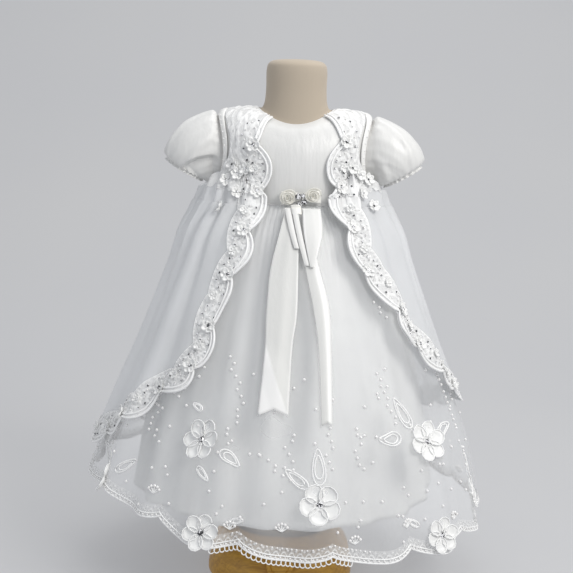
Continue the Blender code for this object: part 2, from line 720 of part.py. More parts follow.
def seat(tree, centre, normal, radius, flatness=1.0):
    """How far along the normal a flat oval must stand to clear what is under it."""
    normal = Vector(normal).normalized()
    across = Vector((0, 0, 1)).cross(normal).normalized()
    rise = normal.cross(across) * flatness
    highest = -1.0
    for ring in (0.0, 0.25, 0.5, 0.75, 1.0):
        for step in range(24):
            angle = math.pi * step / 12
            start = (Vector(centre) + across * (radius * ring * math.cos(angle))
                     + rise * (radius * ring * math.sin(angle)) + normal * 0.05)
            hit = tree.ray_cast(start, -normal, 0.09)
            if hit[0]:
                highest = max(highest, (hit[0] - Vector(centre)).dot(normal))
    return highest + SEAT


def petal_outline(angle):
    """Round petals that meet in notches."""
    return 0.80 + 0.20 * abs(math.sin(PETALS * angle / 2)) ** 0.5


def bloom(name, tree, centre, normal, radius, up=(0, 0, 1)):
    """A cupped flower: a flat back, petals that lift at their ends and a raised middle."""
    rest = seat(tree, centre, normal, radius)
    profile = ((0, rest), (radius, rest), (radius, rest + PETAL_THICK), (0, rest + BLOOM_HEIGHT))
    return disc(name, centre, normal, up, profile, PETALS * 3, WHITE_LACE, petal_outline)


def make_bodice():
    """A front and two backs, which three buttons close."""
    low, thick = FORM_EASE, SATIN
    panel = clipped(torso, outside_bodice_arm)
    made = [wall("bodice_front", clipped(panel, front), low, thick, WHITE_SATIN)]
    behind = clipped(panel, back)
    made.append(wall("bodice_back_right", clipped(behind, right), low, thick, WHITE_SATIN))
    made.append(wall("bodice_back_left", clipped(behind, left), low, thick, WHITE_SATIN))
    tree = surface_tree(*made)
    for number, height in enumerate(BUTTON_HEIGHTS, 1):
        hit = tree.ray_cast(Vector((BUTTON_X, 0.2, height)), Vector((0, -1, 0)))
        centre, normal = hit[0], hit[1]
        rest = seat(tree, centre, normal, BUTTON_RADIUS)
        profile = ((0, rest), (BUTTON_RADIUS, rest), (BUTTON_RADIUS, rest + BUTTON_THICK * 0.6),
                   (BUTTON_RADIUS * 0.7, rest + BUTTON_THICK), (0, rest + BUTTON_THICK))
        disc(f"button_{number}", centre, normal, (0, 0, 1), profile, 8, WHITE_SATIN)
    return made


def make_skirts():
    """The satin lining and the organza skirt over it, each with a side seam."""
    made = [wall("lining_front", clipped(lining, front), 0.0, ORGANZA, WHITE_SATIN),
            wall("lining_back", clipped(lining, back), 0.0, ORGANZA, WHITE_SATIN)]
    panel = clipped(skirt, above_hem)
    made.append(wall("skirt_front", clipped(panel, front), 0.0, hem_thick, WHITE_ORGANZA))
    made.append(wall("skirt_back", clipped(panel, back), 0.0, hem_thick, WHITE_ORGANZA))
    return made


def make_sleeve(name, side):
    """A puff from the armhole to its elastic edge."""
    tree = BVHTree.FromPolygons([Vector(p) for p in torso.places], [tuple(f) for f in torso.faces])
    params, places, faces = [], [], []
    rows = 1 + len(PUFF)
    for row in range(rows):
        for column in range(SLEEVE_COLUMNS):
            angle = 2 * math.pi * column / SLEEVE_COLUMNS
            if row == 0:
                y = ARM_HALF_DEPTH * math.sin(angle)
                z = ARM_HEIGHT + ARM_HALF_HEIGHT * math.cos(angle)
                hit = tree.ray_cast(Vector((0.3, y, z)), Vector((-1, 0, 0)))
                x = hit[0].x + SLEEVE_ROOT
            else:
                puff = PUFF[row - 1]
                wave = puff.gather * math.cos(SLEEVE_GATHERS * angle)
                middle_x = (puff.top_x + puff.low_x) / 2
                middle_z = (puff.top_z + puff.low_z) / 2
                half_x = (puff.top_x - puff.low_x) / 2
                half_z = (puff.top_z - puff.low_z) / 2
                grow = 1 + wave / math.hypot(half_x, half_z)
                x = middle_x + half_x * math.cos(angle) * grow
                y = puff.half_depth * math.sin(angle) * grow
                z = middle_z + half_z * math.cos(angle) * grow
            params.append((math.degrees(angle), row))
            places.append((side * x, y, z))
    for row in range(rows - 1):
        for column in range(SLEEVE_COLUMNS):
            there = (column + 1) % SLEEVE_COLUMNS
            a = row * SLEEVE_COLUMNS + column
            b = row * SLEEVE_COLUMNS + there
            c = a + SLEEVE_COLUMNS
            d = b + SLEEVE_COLUMNS
            faces += [(a, c, d), (a, d, b)] if side > 0 else [(a, d, c), (a, b, d)]
    sheet = Sheet(params, places, faces)
    outward = (sheet.outs * (sheet.places - sheet.places.mean(axis=0))).sum() > 0
    if not outward:
        sheet = Sheet(params, places, [(c, b, a) for a, b, c in faces])
    wall(name, sheet, 0.0, SLEEVE_WALL, WHITE_SATIN)


def lace_flowers(param):
    """A raised flower for each lobe of the lace."""
    inside, length = coat_route.read(param)
    from_tip = ((length - FIRST_LOBE) / coat_lobe + 0.5) % 1.0 - 0.5
    away = math.hypot(from_tip * coat_lobe, inside - LACE_WIDTH * 0.5)
    return max(0.0, 1 - away / LACE_FLOWER)


def lace_thick(param, place):
    return LACE + LACE_RELIEF * lace_flowers(param)


def make_coat():
    """Three organza panels, the armholes' bindings and the lace along the open edge."""
    def below_neck(param, place):
        return (param[1] - COAT_NECK_LEVEL) * (TORSO[1].half_width - TORSO[0].half_width)

    panel = cut_all(coat, inside_coat, outside_coat_arm, below_neck)
    wall("coat_right", cut_all(panel, front, right), 0.0, ORGANZA, WHITE_ORGANZA)
    wall("coat_left", cut_all(panel, front, left), 0.0, ORGANZA, WHITE_ORGANZA)
    wall("coat_back", clipped(panel, back), 0.0, ORGANZA, WHITE_ORGANZA)

    def near_arm(param, place):
        return BINDING_WIDTH - outside_coat_arm(param, place)

    def clear_of_binding(param, place):
        return outside_coat_arm(param, place, BINDING_WIDTH + GAP)

    def upper(param, place):
        return place[2] - ARM_LOWEST

    low = ORGANZA + GAP
    round_arms = cut_all(coat, upper, inside_coat, outside_coat_arm, below_neck)
    binding = clipped(round_arms, near_arm)
    wall("armhole_binding_right", clipped(binding, right), low, RIBBON, WHITE_SATIN)
    wall("armhole_binding_left", clipped(binding, left), low, RIBBON, WHITE_SATIN)

    def below_waist(param, place):
        return BACK_LACE_TOP - place[2]

    def roughly_lace(param, place):
        return LACE_WIDTH + LACE_SPARE - coat_route.read(param)[0]

    fine = finer(clipped(coat, roughly_lace), LACE_EDGE)
    band = cut_all(fine, inside_coat, below_neck, clear_of_binding, inside_lace)
    wall("lace_right", cut_all(band, front, right), low, lace_thick, WHITE_LACE)
    wall("lace_left", cut_all(band, front, left), low, lace_thick, WHITE_LACE)
    wall("lace_back", cut_all(band, back, below_waist), low, lace_thick, WHITE_LACE)


def make_flowers(skirt_pieces):
    """Flowers sewn on the skirt."""
    tree = surface_tree(*skirt_pieces)
    for number, flower in enumerate(BLOOMS, 1):
        angle = math.radians(flower.turn)
        level = Vector((math.cos(angle), math.sin(angle), 0))
        hit = tree.ray_cast(level * 0.5 + Vector((0, 0, flower.height)), -level)
        bloom(f"flower_{number:02d}", tree, hit[0], level + Vector((0, 0, BLOOM_TILT)), flower.radius)


def strip_cut(table, notch=0.0):
    """Keep what lies between the two edges of a ribbon."""
    heights = [row.height for row in table][::-1]
    lefts = [row.left for row in table][::-1]
    rights = [row.right for row in table][::-1]
    bottom, top = heights[0], heights[-1]

    def past_left(param, place):
        return place[0] - np.interp(place[2], heights, lefts)

    def before_right(param, place):
        return np.interp(place[2], heights, rights) - place[0]

    def over_end(param, place):
        middle = (lefts[0] + rights[0]) / 2
        half = (rights[0] - lefts[0]) / 2
        return place[2] - bottom - notch * max(0.0, 1 - abs(place[0] - middle) / half)

    def under_top(param, place):
        return top - place[2]

    return past_left, before_right, over_end, under_top


def make_ribbons():
    """Tails and hanging loops, laid over one another on the skirt's front."""
    def front_centre(param, place):
        return min(-place[1] - RIBBON_FRONT, RIBBON_REACH - abs(place[0]), place[2] - RIBBON_LOWEST)

    sheet = finer(clipped(skirt, front_centre), RIBBON_EDGE)
    first = ORGANZA + GAP
    second = first + RIBBON + GAP
    third = second + RIBBON + GAP
    made = []
    for name, table, low, notch in (
            ("tail_left", LEFT_TAIL, first, TAIL_NOTCH), ("tail_right", RIGHT_TAIL, first, SMALL_NOTCH),
            ("hanging_loop_1", FIRST_LOOP, second, 0.0), ("hanging_loop_2", SECOND_LOOP, second, 0.0),
            ("hanging_loop_wide", WIDE_LOOP, third, 0.0)):
        made.append(wall(name, cut_all(sheet, *strip_cut(table, notch)), low, RIBBON, WHITE_SATIN))
    return made


def make_bow(carriers):
    """Two ribbon loops side by side with a rose over their ends."""
    tree = surface_tree(*carriers)
    centre = Vector((BOW_X, -0.070, BOW_Z))
    normal = Vector((0, -1, 0))
    rest = seat(tree, centre, normal, BOW_LOOP_LENGTH, BOW_LOOP_WIDTH / 2 / BOW_LOOP_LENGTH)
    loops = []
    for name, side in (("bow_loop_right", 1), ("bow_loop_left", -1)):
        params, places, faces = [], [], []
        for step in range(BOW_STEPS + 1):
            s = step / BOW_STEPS
            reach = BOW_MIDDLE + BOW_LOOP_LENGTH * math.sin(math.pi * s)
            lift = rest + RIBBON + BOW_LOOP_RISE * (1 - math.cos(math.pi * s)) / 2
            half = BOW_LOOP_WIDTH / 2 * (BOW_PINCH + (1 - BOW_PINCH) * math.sin(math.pi * s))
            for share in (-1, 0, 1):
                point = centre + normal * lift + Vector((side * reach, 0, share * half))
                params.append((share, s))
                places.append(tuple(point))
        for step in range(BOW_STEPS):
            for column in range(2):
                a = step * 3 + column
                faces += [(a, a + 1, a + 4), (a, a + 4, a + 3)]
        sheet = Sheet(params, places, faces)
        outermost = 3 * (BOW_STEPS // 2) + 1
        if sheet.outs[outermost][0] * side < 0:
            sheet = Sheet(params, places, [(c, b, a) for a, b, c in faces])
        loops.append(wall(name, sheet, 0.0, BOW_WALL, WHITE_SATIN))
    bloom("rose", surface_tree(*loops), centre, normal, ROSE_RADIUS)


def make_boss():
    """The round boss on the base's front."""
    y = -(BASE_RADIUS - BASE_GROOVE) + 0.002
    tree = surface_tree(bpy.data.objects["base"])
    centre = Vector((0, y, BOSS_HEIGHT))
    rest = seat(tree, centre, (0, -1, 0), BOSS_RADIUS * 0.8)
    profile = ((0, rest), (BOSS_RADIUS * 0.8, rest), (BOSS_RADIUS, rest + BOSS_LENGTH * 0.5),
               (BOSS_RADIUS * 0.8, rest + BOSS_LENGTH), (0, rest + BOSS_LENGTH))
    disc("base_boss", centre, (0, -1, 0), (0, 0, 1), profile, 20, WOOD)


make_form()
make_base()
make_boss()
bodice = make_bodice()
skirts = make_skirts()
make_sleeve("sleeve_right", 1)
make_sleeve("sleeve_left", -1)
make_coat()
make_flowers(skirts)
ribbons = make_ribbons()
make_bow(bodice + skirts + ribbons)
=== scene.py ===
import math

import bmesh
import bpy
import numpy as np
from mathutils import Matrix, Vector
from mathutils.kdtree import KDTree


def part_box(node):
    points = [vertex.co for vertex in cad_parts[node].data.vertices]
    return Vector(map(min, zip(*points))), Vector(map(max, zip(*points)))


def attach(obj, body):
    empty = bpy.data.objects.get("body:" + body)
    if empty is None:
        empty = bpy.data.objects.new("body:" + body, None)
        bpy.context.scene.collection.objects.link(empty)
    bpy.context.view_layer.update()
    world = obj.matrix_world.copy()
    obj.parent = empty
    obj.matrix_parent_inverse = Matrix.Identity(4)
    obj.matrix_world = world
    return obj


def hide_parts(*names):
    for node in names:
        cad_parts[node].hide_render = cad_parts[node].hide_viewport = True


# A baby's christening gown on a limbless form. Metres, +Z up, the gown faces -Y.
# A turn is in degrees round Z: -90 is the centre front, 0 the side at +X, 90 the centre back.
# A level counts rings from the neck edge down: 0 to 7 on the torso, 8 and on down the skirt.

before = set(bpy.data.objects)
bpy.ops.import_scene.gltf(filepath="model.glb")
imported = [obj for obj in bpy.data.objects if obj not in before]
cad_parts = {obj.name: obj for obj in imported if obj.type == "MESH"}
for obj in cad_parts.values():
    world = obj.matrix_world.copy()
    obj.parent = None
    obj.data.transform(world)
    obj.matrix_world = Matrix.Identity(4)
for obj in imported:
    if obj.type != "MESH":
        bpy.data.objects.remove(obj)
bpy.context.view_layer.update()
bpy.ops.object.select_all(action="DESELECT")

datum = 0.040       # the heights below are measured from this far above the floor
waist = 0.478


# camera, light and backdrop

view = {"place": (-0.004, -1.56, 0.670), "down": 9.86, "roll": 2.0, "lens": 72.5}


def makeCamera():
    data = bpy.data.cameras.new("camera")
    data.lens = view["lens"]
    data.sensor_width = 36.0
    camera = bpy.data.objects.new("camera", data)
    turned = (Matrix.Rotation(math.radians(90 - view["down"]), 4, "X")
              @ Matrix.Rotation(math.radians(view["roll"]), 4, "Z"))
    camera.matrix_world = Matrix.Translation(view["place"]) @ turned
    bpy.context.scene.collection.objects.link(camera)
    bpy.context.scene.camera = camera


lamps = {
    # name: place, aim, width, watts, colour
    "keyLight": ((1.15, -1.25, 1.75), (0.0, 0.0, 0.35), 0.8, 23.5, (1.0, 0.985, 0.955)),
    "fillLight": ((-1.6, -1.3, 0.9), (0.0, 0.0, 0.3), 1.6, 2.4, (0.90, 0.95, 1.0)),
    "topLight": ((0.2, 0.2, 2.1), (0.0, 0.0, 0.3), 1.2, 9.0, (1.0, 1.0, 1.0)),
    "wallLight": ((0.4, 1.2, 2.6), (0.0, 3.1, 0.9), 2.4, 16.0, (1.0, 0.99, 0.97)),
}


def makeLamps():
    for name, (place, aim, width, watts, colour) in lamps.items():
        data = bpy.data.lights.new(name, "AREA")
        data.size = width
        data.energy = watts
        data.color = colour
        lamp = bpy.data.objects.new(name, data)
        lamp.location = place
        lamp.rotation_euler = (Vector(aim) - Vector(place)).to_track_quat("-Z", "Y").to_euler()
        bpy.context.scene.collection.objects.link(lamp)
    world = bpy.data.worlds.new("studio")
    bpy.context.scene.world = world
    world.use_nodes = True
    world.node_tree.nodes["Background"].inputs["Color"].default_value = (0.83, 0.85, 0.885, 1)
    world.node_tree.nodes["Background"].inputs["Strength"].default_value = 0.58
    bpy.context.scene.view_settings.view_transform = "Standard"


makeCamera()
makeLamps()
print("camera and lights")


# node groups and materials

def addNode(tree, kind, **values):
    node = tree.nodes.new(kind)
    for name, value in values.items():
        if hasattr(node, name):
            setattr(node, name, value)
        else:
            node.inputs[name.replace("_", " ")].default_value = value
    return node


def newGroup(name, inputs, outputs):
    group = bpy.data.node_groups.new(name, "ShaderNodeTree")
    for label, kind, value in inputs:
        socket = group.interface.new_socket(label, in_out="INPUT", socket_type=kind)
        socket.default_value = value
    for label, kind in outputs:
        group.interface.new_socket(label, in_out="OUTPUT", socket_type=kind)
    return group, group.nodes.new("NodeGroupInput"), group.nodes.new("NodeGroupOutput")


def makeWeaveGroup():
    # crossing threads on the cloth's own UV, in metres, and a soft unevenness in their tone
    group, given, out = newGroup(
        "threadWeave",
        [("Threads per metre", "NodeSocketFloat", 1500.0), ("Unevenness", "NodeSocketFloat", 0.05),
         ("Cloud size", "NodeSocketFloat", 14.0)],
        [("Height", "NodeSocketFloat"), ("Tone", "NodeSocketFloat")])
    link = group.links.new
    uv = addNode(group, "ShaderNodeTexCoord")
    waves = []
    for direction in ("X", "Y"):
        wave = addNode(group, "ShaderNodeTexWave", wave_type="BANDS", bands_direction=direction,
                       Distortion=0.6, Detail_Scale=3.0)
        link(uv.outputs["UV"], wave.inputs["Vector"])
        link(given.outputs["Threads per metre"], wave.inputs["Scale"])
        waves.append(wave)
    woven = addNode(group, "ShaderNodeMath", operation="MAXIMUM")
    link(waves[0].outputs["Fac"], woven.inputs[0])
    link(waves[1].outputs["Fac"], woven.inputs[1])
    cloud = addNode(group, "ShaderNodeTexNoise", Detail=3.0)
    link(uv.outputs["Object"], cloud.inputs["Vector"])
    link(given.outputs["Cloud size"], cloud.inputs["Scale"])
    centred = addNode(group, "ShaderNodeMath", operation="SUBTRACT")
    centred.inputs[1].default_value = 0.5
    link(cloud.outputs["Fac"], centred.inputs[0])
    tone = addNode(group, "ShaderNodeMath", operation="MULTIPLY_ADD")
    tone.inputs[2].default_value = 1.0
    link(centred.outputs[0], tone.inputs[0])
    link(given.outputs["Unevenness"], tone.inputs[1])
    link(woven.outputs[0], out.inputs["Height"])
    link(tone.outputs[0], out.inputs["Tone"])
    return group


def makeCrumpleGroup():
    # the small soft dents of cloth that has been folded and handled
    group, given, out = newGroup(
        "softCrumple", [("Size", "NodeSocketFloat", 40.0), ("Stretch", "NodeSocketFloat", 3.0)],
        [("Height", "NodeSocketFloat")])
    link = group.links.new
    place = addNode(group, "ShaderNodeTexCoord")
    squeeze = addNode(group, "ShaderNodeCombineXYZ")
    squeeze.inputs["Z"].default_value = 0.4
    link(given.outputs["Stretch"], squeeze.inputs["X"])
    link(given.outputs["Stretch"], squeeze.inputs["Y"])
    scaled = addNode(group, "ShaderNodeVectorMath", operation="MULTIPLY")
    link(place.outputs["Object"], scaled.inputs[0])
    link(squeeze.outputs[0], scaled.inputs[1])
    noise = addNode(group, "ShaderNodeTexNoise", Detail=2.0)
    link(scaled.outputs[0], noise.inputs["Vector"])
    link(given.outputs["Size"], noise.inputs["Scale"])
    link(noise.outputs["Fac"], out.inputs["Height"])
    return group


weaveGroup = makeWeaveGroup()
crumpleGroup = makeCrumpleGroup()


def placeGroup(tree, group, **values):
    node = tree.nodes.new("ShaderNodeGroup")
    node.node_tree = group
    for name, value in values.items():
        node.inputs[name.replace("_", " ")].default_value = value
    return node


def shadeByTone(tree, shader, colour, tone):
    # the thread group's tone multiplies the cloth's own colour
    mix = tree.nodes.new("ShaderNodeVectorMath")
    mix.operation = "SCALE"
    mix.inputs[0].default_value = colour
    tree.links.new(tone, mix.inputs["Scale"])
    tree.links.new(mix.outputs[0], shader.inputs["Base Color"])


def bumpFrom(tree, shader, layers):
    # each layer is (height socket, distance in metres), one bump upon another
    last = None
    for height, distance in layers:
        bump = addNode(tree, "ShaderNodeBump", Distance=distance, Strength=1.0)
        tree.links.new(height, bump.inputs["Height"])
        if last:
            tree.links.new(last.outputs["Normal"], bump.inputs["Normal"])
        last = bump
    tree.links.new(last.outputs["Normal"], shader.inputs["Normal"])


def newMaterial(name, **values):
    material = bpy.data.materials.new(name)
    material.use_nodes = True
    shader = material.node_tree.nodes["Principled BSDF"]
    for label, value in values.items():
        shader.inputs[label.replace("_", " ")].default_value = value
    return material, material.node_tree, shader


def addTexture(tree, kind, **values):
    # a texture laid by the piece's own place
    texture = addNode(tree, kind, **values)
    place = tree.nodes.new("ShaderNodeTexCoord")
    tree.links.new(place.outputs["Object"], texture.inputs["Vector"])
    return texture


def colourByRamp(tree, shader, source, low, high, lowAt=0.0, highAt=1.0):
    ramp = tree.nodes.new("ShaderNodeValToRGB")
    first, last = ramp.color_ramp.elements
    first.color, last.color = (*low, 1), (*high, 1)
    first.position, last.position = lowAt, highAt
    tree.links.new(source, ramp.inputs["Fac"])
    tree.links.new(ramp.outputs["Color"], shader.inputs["Base Color"])
    return ramp


def addRange(tree, source, target, low, high, clamp=True):
    spread = addNode(tree, "ShaderNodeMapRange", clamp=clamp, To_Min=low, To_Max=high)
    tree.links.new(source, spread.inputs["Value"])
    tree.links.new(spread.outputs[0], target)


def clothMaterial(name, look):
    material, tree, shader = newMaterial(name, Roughness=look["roughness"], Sheen_Weight=look["sheen"],
                                         Sheen_Roughness=0.4, Specular_IOR_Level=look["gloss"])
    weave = placeGroup(tree, weaveGroup, Threads_per_metre=look["threads"], Unevenness=look["uneven"])
    crumple = placeGroup(tree, crumpleGroup, Size=look["crumpleSize"])
    shadeByTone(tree, shader, look["colour"], weave.outputs["Tone"])
    bumpFrom(tree, shader, [(crumple.outputs["Height"], look["crumple"]),
                            (weave.outputs["Height"], look["threadDepth"])])
    return material, tree, shader


satinLook = {"colour": (0.775, 0.772, 0.758), "roughness": 0.36, "sheen": 0.15, "gloss": 0.55,
             "threads": 900, "uneven": 0.05, "threadDepth": 0.00002, "crumple": 0.0010, "crumpleSize": 34}
ribbonLook = {"colour": (0.92, 0.915, 0.895), "roughness": 0.26, "sheen": 0.1, "gloss": 0.7,
              "threads": 900, "uneven": 0.04, "threadDepth": 0.00002, "crumple": 0.0003, "crumpleSize": 60}
organzaLook = {"colour": (0.93, 0.94, 0.955), "roughness": 0.42, "sheen": 0.25, "gloss": 0.45,
               "threads": 700, "uneven": 0.05, "threadDepth": 0.00003, "crumple": 0.0006, "crumpleSize": 26,
               "coverDrift": 0.10}
laceLook = {"colour": (0.985, 0.985, 0.98), "roughness": 0.55, "sheen": 0.5, "gloss": 0.4,
            "threads": 620, "uneven": 0.06, "threadDepth": 0.00012, "crumple": 0.0002, "crumpleSize": 160}
jerseyLook = {"colour": (0.50, 0.43, 0.345), "roughness": 0.85, "sheen": 0.2, "gloss": 0.25,
              "threads": 520, "uneven": 0.10, "threadDepth": 0.00010, "crumple": 0.0004, "crumpleSize": 20}

satin = clothMaterial("whiteSatin", satinLook)[0]
liningSatin = clothMaterial("liningSatin", dict(satinLook, colour=(0.825, 0.825, 0.815)))[0]
ribbonSatin = clothMaterial("ribbonSatin", ribbonLook)[0]
creamRibbon = clothMaterial("creamRibbon", dict(ribbonLook, colour=(0.95, 0.935, 0.88), roughness=0.42))[0]
jersey = clothMaterial("beigeJersey", jerseyLook)[0]
stitching = clothMaterial("whiteStitching", dict(laceLook, roughness=0.45, crumple=0.0001))[0]
petalSatin = clothMaterial("petalSatin", dict(ribbonLook, colour=(0.93, 0.93, 0.92), roughness=0.4))[0]


def makeOrganza(name, cover):
    # sheer: the share of each spot that the threads cover drifts over the cloth
    material, tree, shader = clothMaterial(name, organzaLook)
    cloud = addTexture(tree, "ShaderNodeTexNoise", Scale=9.0)
    drift = organzaLook["coverDrift"]
    addRange(tree, cloud.outputs["Fac"], shader.inputs["Alpha"], cover - drift, cover + drift, clamp=False)
    return material


def makeLaceMaterial(name, netCover):
    # the stitched motifs are solid thread, and the net between them is thin
    material, tree, shader = clothMaterial(name, laceLook)
    dense = addNode(tree, "ShaderNodeAttribute", attribute_name="stitched")
    addRange(tree, dense.outputs["Fac"], shader.inputs["Alpha"], netCover, 1.0)
    return material


def makeTailMaterial():
    # painted highlight: where its attribute is high, the ribbon is painted lighter and made glossier, standing
    # in for light on its folds and edges
    material, tree, shader = clothMaterial("ribbonPaintedHighlight", ribbonLook)
    face = addNode(tree, "ShaderNodeAttribute", attribute_name="highlightPaint")
    colour = addNode(tree, "ShaderNodeMix", data_type="RGBA")
    # the ribbon's own colour, then the lighter colour of the painted highlight
    colour.inputs[6].default_value = (0.74, 0.74, 0.72, 1)
    colour.inputs[7].default_value = (0.97, 0.965, 0.95, 1)
    tree.links.new(face.outputs["Fac"], colour.inputs[0])
    tree.links.new(colour.outputs[2], shader.inputs["Base Color"])
    addRange(tree, face.outputs["Fac"], shader.inputs["Roughness"], 0.6, 0.28)
    return material


def makeStoneMaterial():
    # painted reflections: the stone's colour is cut into near black and near white patches, as if its facets
    # reflected dark and light by turns
    material, tree, shader = newMaterial("clearStone", Roughness=0.08, Specular_IOR_Level=0.9)
    reflectionPatches = addTexture(tree, "ShaderNodeTexVoronoi", Scale=620.0)
    ramp = colourByRamp(tree, shader, reflectionPatches.outputs["Color"], (0.03, 0.03, 0.035), (0.95, 0.95, 0.97),
                        highAt=0.5)
    ramp.color_ramp.interpolation = "CONSTANT"
    return material


def makePearlMaterial():
    material, tree, shader = newMaterial("whitePearl", Roughness=0.22, Coat_Weight=0.5)
    tint = addTexture(tree, "ShaderNodeTexNoise", Scale=240.0)
    colourByRamp(tree, shader, tint.outputs["Fac"], (0.90, 0.88, 0.86), (0.97, 0.97, 0.98))
    return material


def makeWoodMaterial():
    material, tree, shader = newMaterial("goldenWood", Coat_Weight=0.25, Coat_Roughness=0.2)
    stretch = addTexture(tree, "ShaderNodeMapping", Scale=(1.0, 7.0, 9.0))
    grain = addNode(tree, "ShaderNodeTexNoise", Scale=26.0, Detail=6.0, Distortion=0.8)
    tree.links.new(stretch.outputs[0], grain.inputs["Vector"])
    colourByRamp(tree, shader, grain.outputs["Fac"], (0.400, 0.190, 0.016), (0.640, 0.350, 0.040), 0.3, 0.72)
    addRange(tree, grain.outputs["Fac"], shader.inputs["Roughness"], 0.34, 0.55)
    bumpFrom(tree, shader, [(grain.outputs["Fac"], 0.0004)])
    return material


def makePaperMaterial():
    # a translucent sweep, lit softly from behind
    material, tree, shader = newMaterial("paleBackdrop", Roughness=0.9, Specular_IOR_Level=0.1,
                                         Emission_Color=(0.95, 0.96, 1.0, 1), Emission_Strength=0.25)
    cloud = addTexture(tree, "ShaderNodeTexNoise", Scale=1.4)
    colourByRamp(tree, shader, cloud.outputs["Fac"], (0.330, 0.334, 0.345), (0.370, 0.368, 0.362))
    return material


skirtOrganza = makeOrganza("skirtOrganza", 0.30)
coatOrganza = makeOrganza("coatOrganza", 0.56)
lace = makeLaceMaterial("embroideredLace", 0.72)
hemLace = makeLaceMaterial("hemLace", 0.36)
tailSatin = makeTailMaterial()
stone = makeStoneMaterial()
pearl = makePearlMaterial()
wood = makeWoodMaterial()
paper = makePaperMaterial()
print("materials")


# the backdrop: a pale floor that sweeps up behind

sweep = {"halfWidth": 4.0, "front": -4.0, "back": 3.2, "curve": 2.4, "height": 3.4}


def makeSweep():
    profile = [(sweep["front"], 0.0), (sweep["back"] - sweep["curve"], 0.0)]
    for step in range(1, 33):
        angle = math.pi / 2 * step / 32
        profile.append((sweep["back"] - sweep["curve"] + sweep["curve"] * math.sin(angle),
                        sweep["curve"] * (1 - math.cos(angle))))
    profile.append((sweep["back"], sweep["height"]))
    points = [(x, y, z) for y, z in profile for x in (-sweep["halfWidth"], sweep["halfWidth"])]
    faces = [(2 * i, 2 * i + 1, 2 * i + 3, 2 * i + 2) for i in range(len(profile) - 1)]
    mesh = bpy.data.meshes.new("floor")
    mesh.from_pydata(points, [], faces)
    mesh.shade_smooth()
    mesh.materials.append(paper)
    floor = bpy.data.objects.new("floor", mesh)
    bpy.context.scene.collection.objects.link(floor)


makeSweep()


# the surfaces that all the cloth is cut from

torso = {
    "side": (0.599, 0.5985, 0.596, 0.588, 0.563, 0.525, 0.498, waist),
    "front": (0.580, 0.573, 0.560, 0.545, 0.527, 0.508, 0.492, waist),
    "back": (0.590, 0.584, 0.571, 0.552, 0.530, 0.509, 0.492, waist),
    "halfWidth": (0.0490, 0.0680, 0.0870, 0.0995, 0.1030, 0.1010, 0.0975, 0.0935),
    "halfDepth": (0.0430, 0.0540, 0.0625, 0.0680, 0.0710, 0.0715, 0.0705, 0.0690),
}
skirt = {
    "height": (0.4777, 0.462, 0.435, 0.395, 0.345, 0.285, 0.220, 0.155, 0.095, 0.040),
    "halfWidth": (0.0953, 0.1120, 0.1330, 0.1490, 0.1690, 0.1920, 0.2190, 0.2430, 0.2590, 0.2680),
    "halfDepth": (0.0708, 0.0870, 0.1080, 0.1280, 0.1520, 0.1800, 0.2100, 0.2340, 0.2500, 0.2590),
    "fold": (0.0, 0.06, 0.14, 0.28, 0.45, 0.65, 0.85, 1.0, 1.10, 1.15),
}
lining = {
    "height": (0.4770, 0.462, 0.430, 0.360, 0.270, 0.180, 0.085),
    "halfWidth": (0.0939, 0.0990, 0.1130, 0.1400, 0.1690, 0.1880, 0.2010),
    "halfDepth": (0.0694, 0.0760, 0.0920, 0.1230, 0.1570, 0.1790, 0.1930),
    "fold": (0.0, 0.0, 0.1, 0.2, 0.4, 0.6, 0.8),
}
# crest, depth and half width in degrees of each large fold
largeFolds = ((-167, .009, 10), (-147, .012, 10), (-129, .007, 8), (-113, .011, 9), (-96, .006, 8),
              (-79, .010, 9), (-60, .007, 9), (-41, .012, 10), (-20, .008, 11), (5, .011, 14),
              (35, .007, 14), (65, .012, 15), (95, .008, 15), (125, .011, 16), (158, .008, 16))
# the many fine folds between them, drawn at random once
smallFolds = {"count": 46, "seed": 7, "narrowest": 2.4, "widest": 6.0, "shallowest": 0.0008, "deepest": 0.0030}
gathers = {"pitch": 3.6, "depth": 0.0010, "fade": 1.5}


def turnsApart(turn, other):
    return np.abs((turn - other + 180) % 360 - 180)


def roundedBump(away):
    # 1 at 0, and 0 from 1 on
    return np.cos(np.radians(90 * np.minimum(away, 1))) ** 2


def walkedAlong(points):
    return np.concatenate([[0.0], np.cumsum(np.linalg.norm(np.diff(points, axis=0), axis=1))])


def readTable(table, down, across):
    # between four neighbours
    a = np.minimum(down.astype(int), table.shape[0] - 2)
    b = np.minimum(across.astype(int), table.shape[1] - 2)
    s, t = down - a, across - b
    return ((table[a, b] * (1 - t) + table[a, b + 1] * t) * (1 - s)
            + (table[a + 1, b] * (1 - t) + table[a + 1, b + 1] * t) * s)


def gridPoints(x, y, z):
    return np.stack([x, y, z], axis=-1).reshape(-1, 3)


def gridUv(across, down):
    return np.stack([across.ravel(), down.ravel()], 1)


def readRows(values, position):
    # a smooth curve through the rows
    values = np.asarray(values, float)
    last = len(values) - 1
    position = np.clip(np.asarray(position, float), 0, last)
    row = np.minimum(position.astype(int), last - 1)
    t = position - row
    before, start = values[np.maximum(row - 1, 0)], values[row]
    end, after = values[row + 1], values[np.minimum(row + 2, last)]
    slopeIn, slopeOut = (end - before) / 2, (after - start) / 2
    return ((2 * t**3 - 3 * t**2 + 1) * start + (t**3 - 2 * t**2 + t) * slopeIn
            + (3 * t**2 - 2 * t**3) * end + (t**3 - t**2) * slopeOut)


def levelAt(rows, height):
    steps = np.linspace(0, len(rows["height"]) - 1, 400)
    return np.interp(-np.asarray(height, float), -readRows(rows["height"], steps), steps)


def ringPlace(rows, turn, level):
    angle = np.radians(turn)
    end = np.where(np.sin(angle) < 0, readRows(rows["front"], level), readRows(rows["back"], level))
    side = readRows(rows["side"], level)
    return np.stack([readRows(rows["halfWidth"], level) * np.cos(angle),
                     readRows(rows["halfDepth"], level) * np.sin(angle),
                     side + (end - side) * np.sin(angle) ** 2], axis=-1)


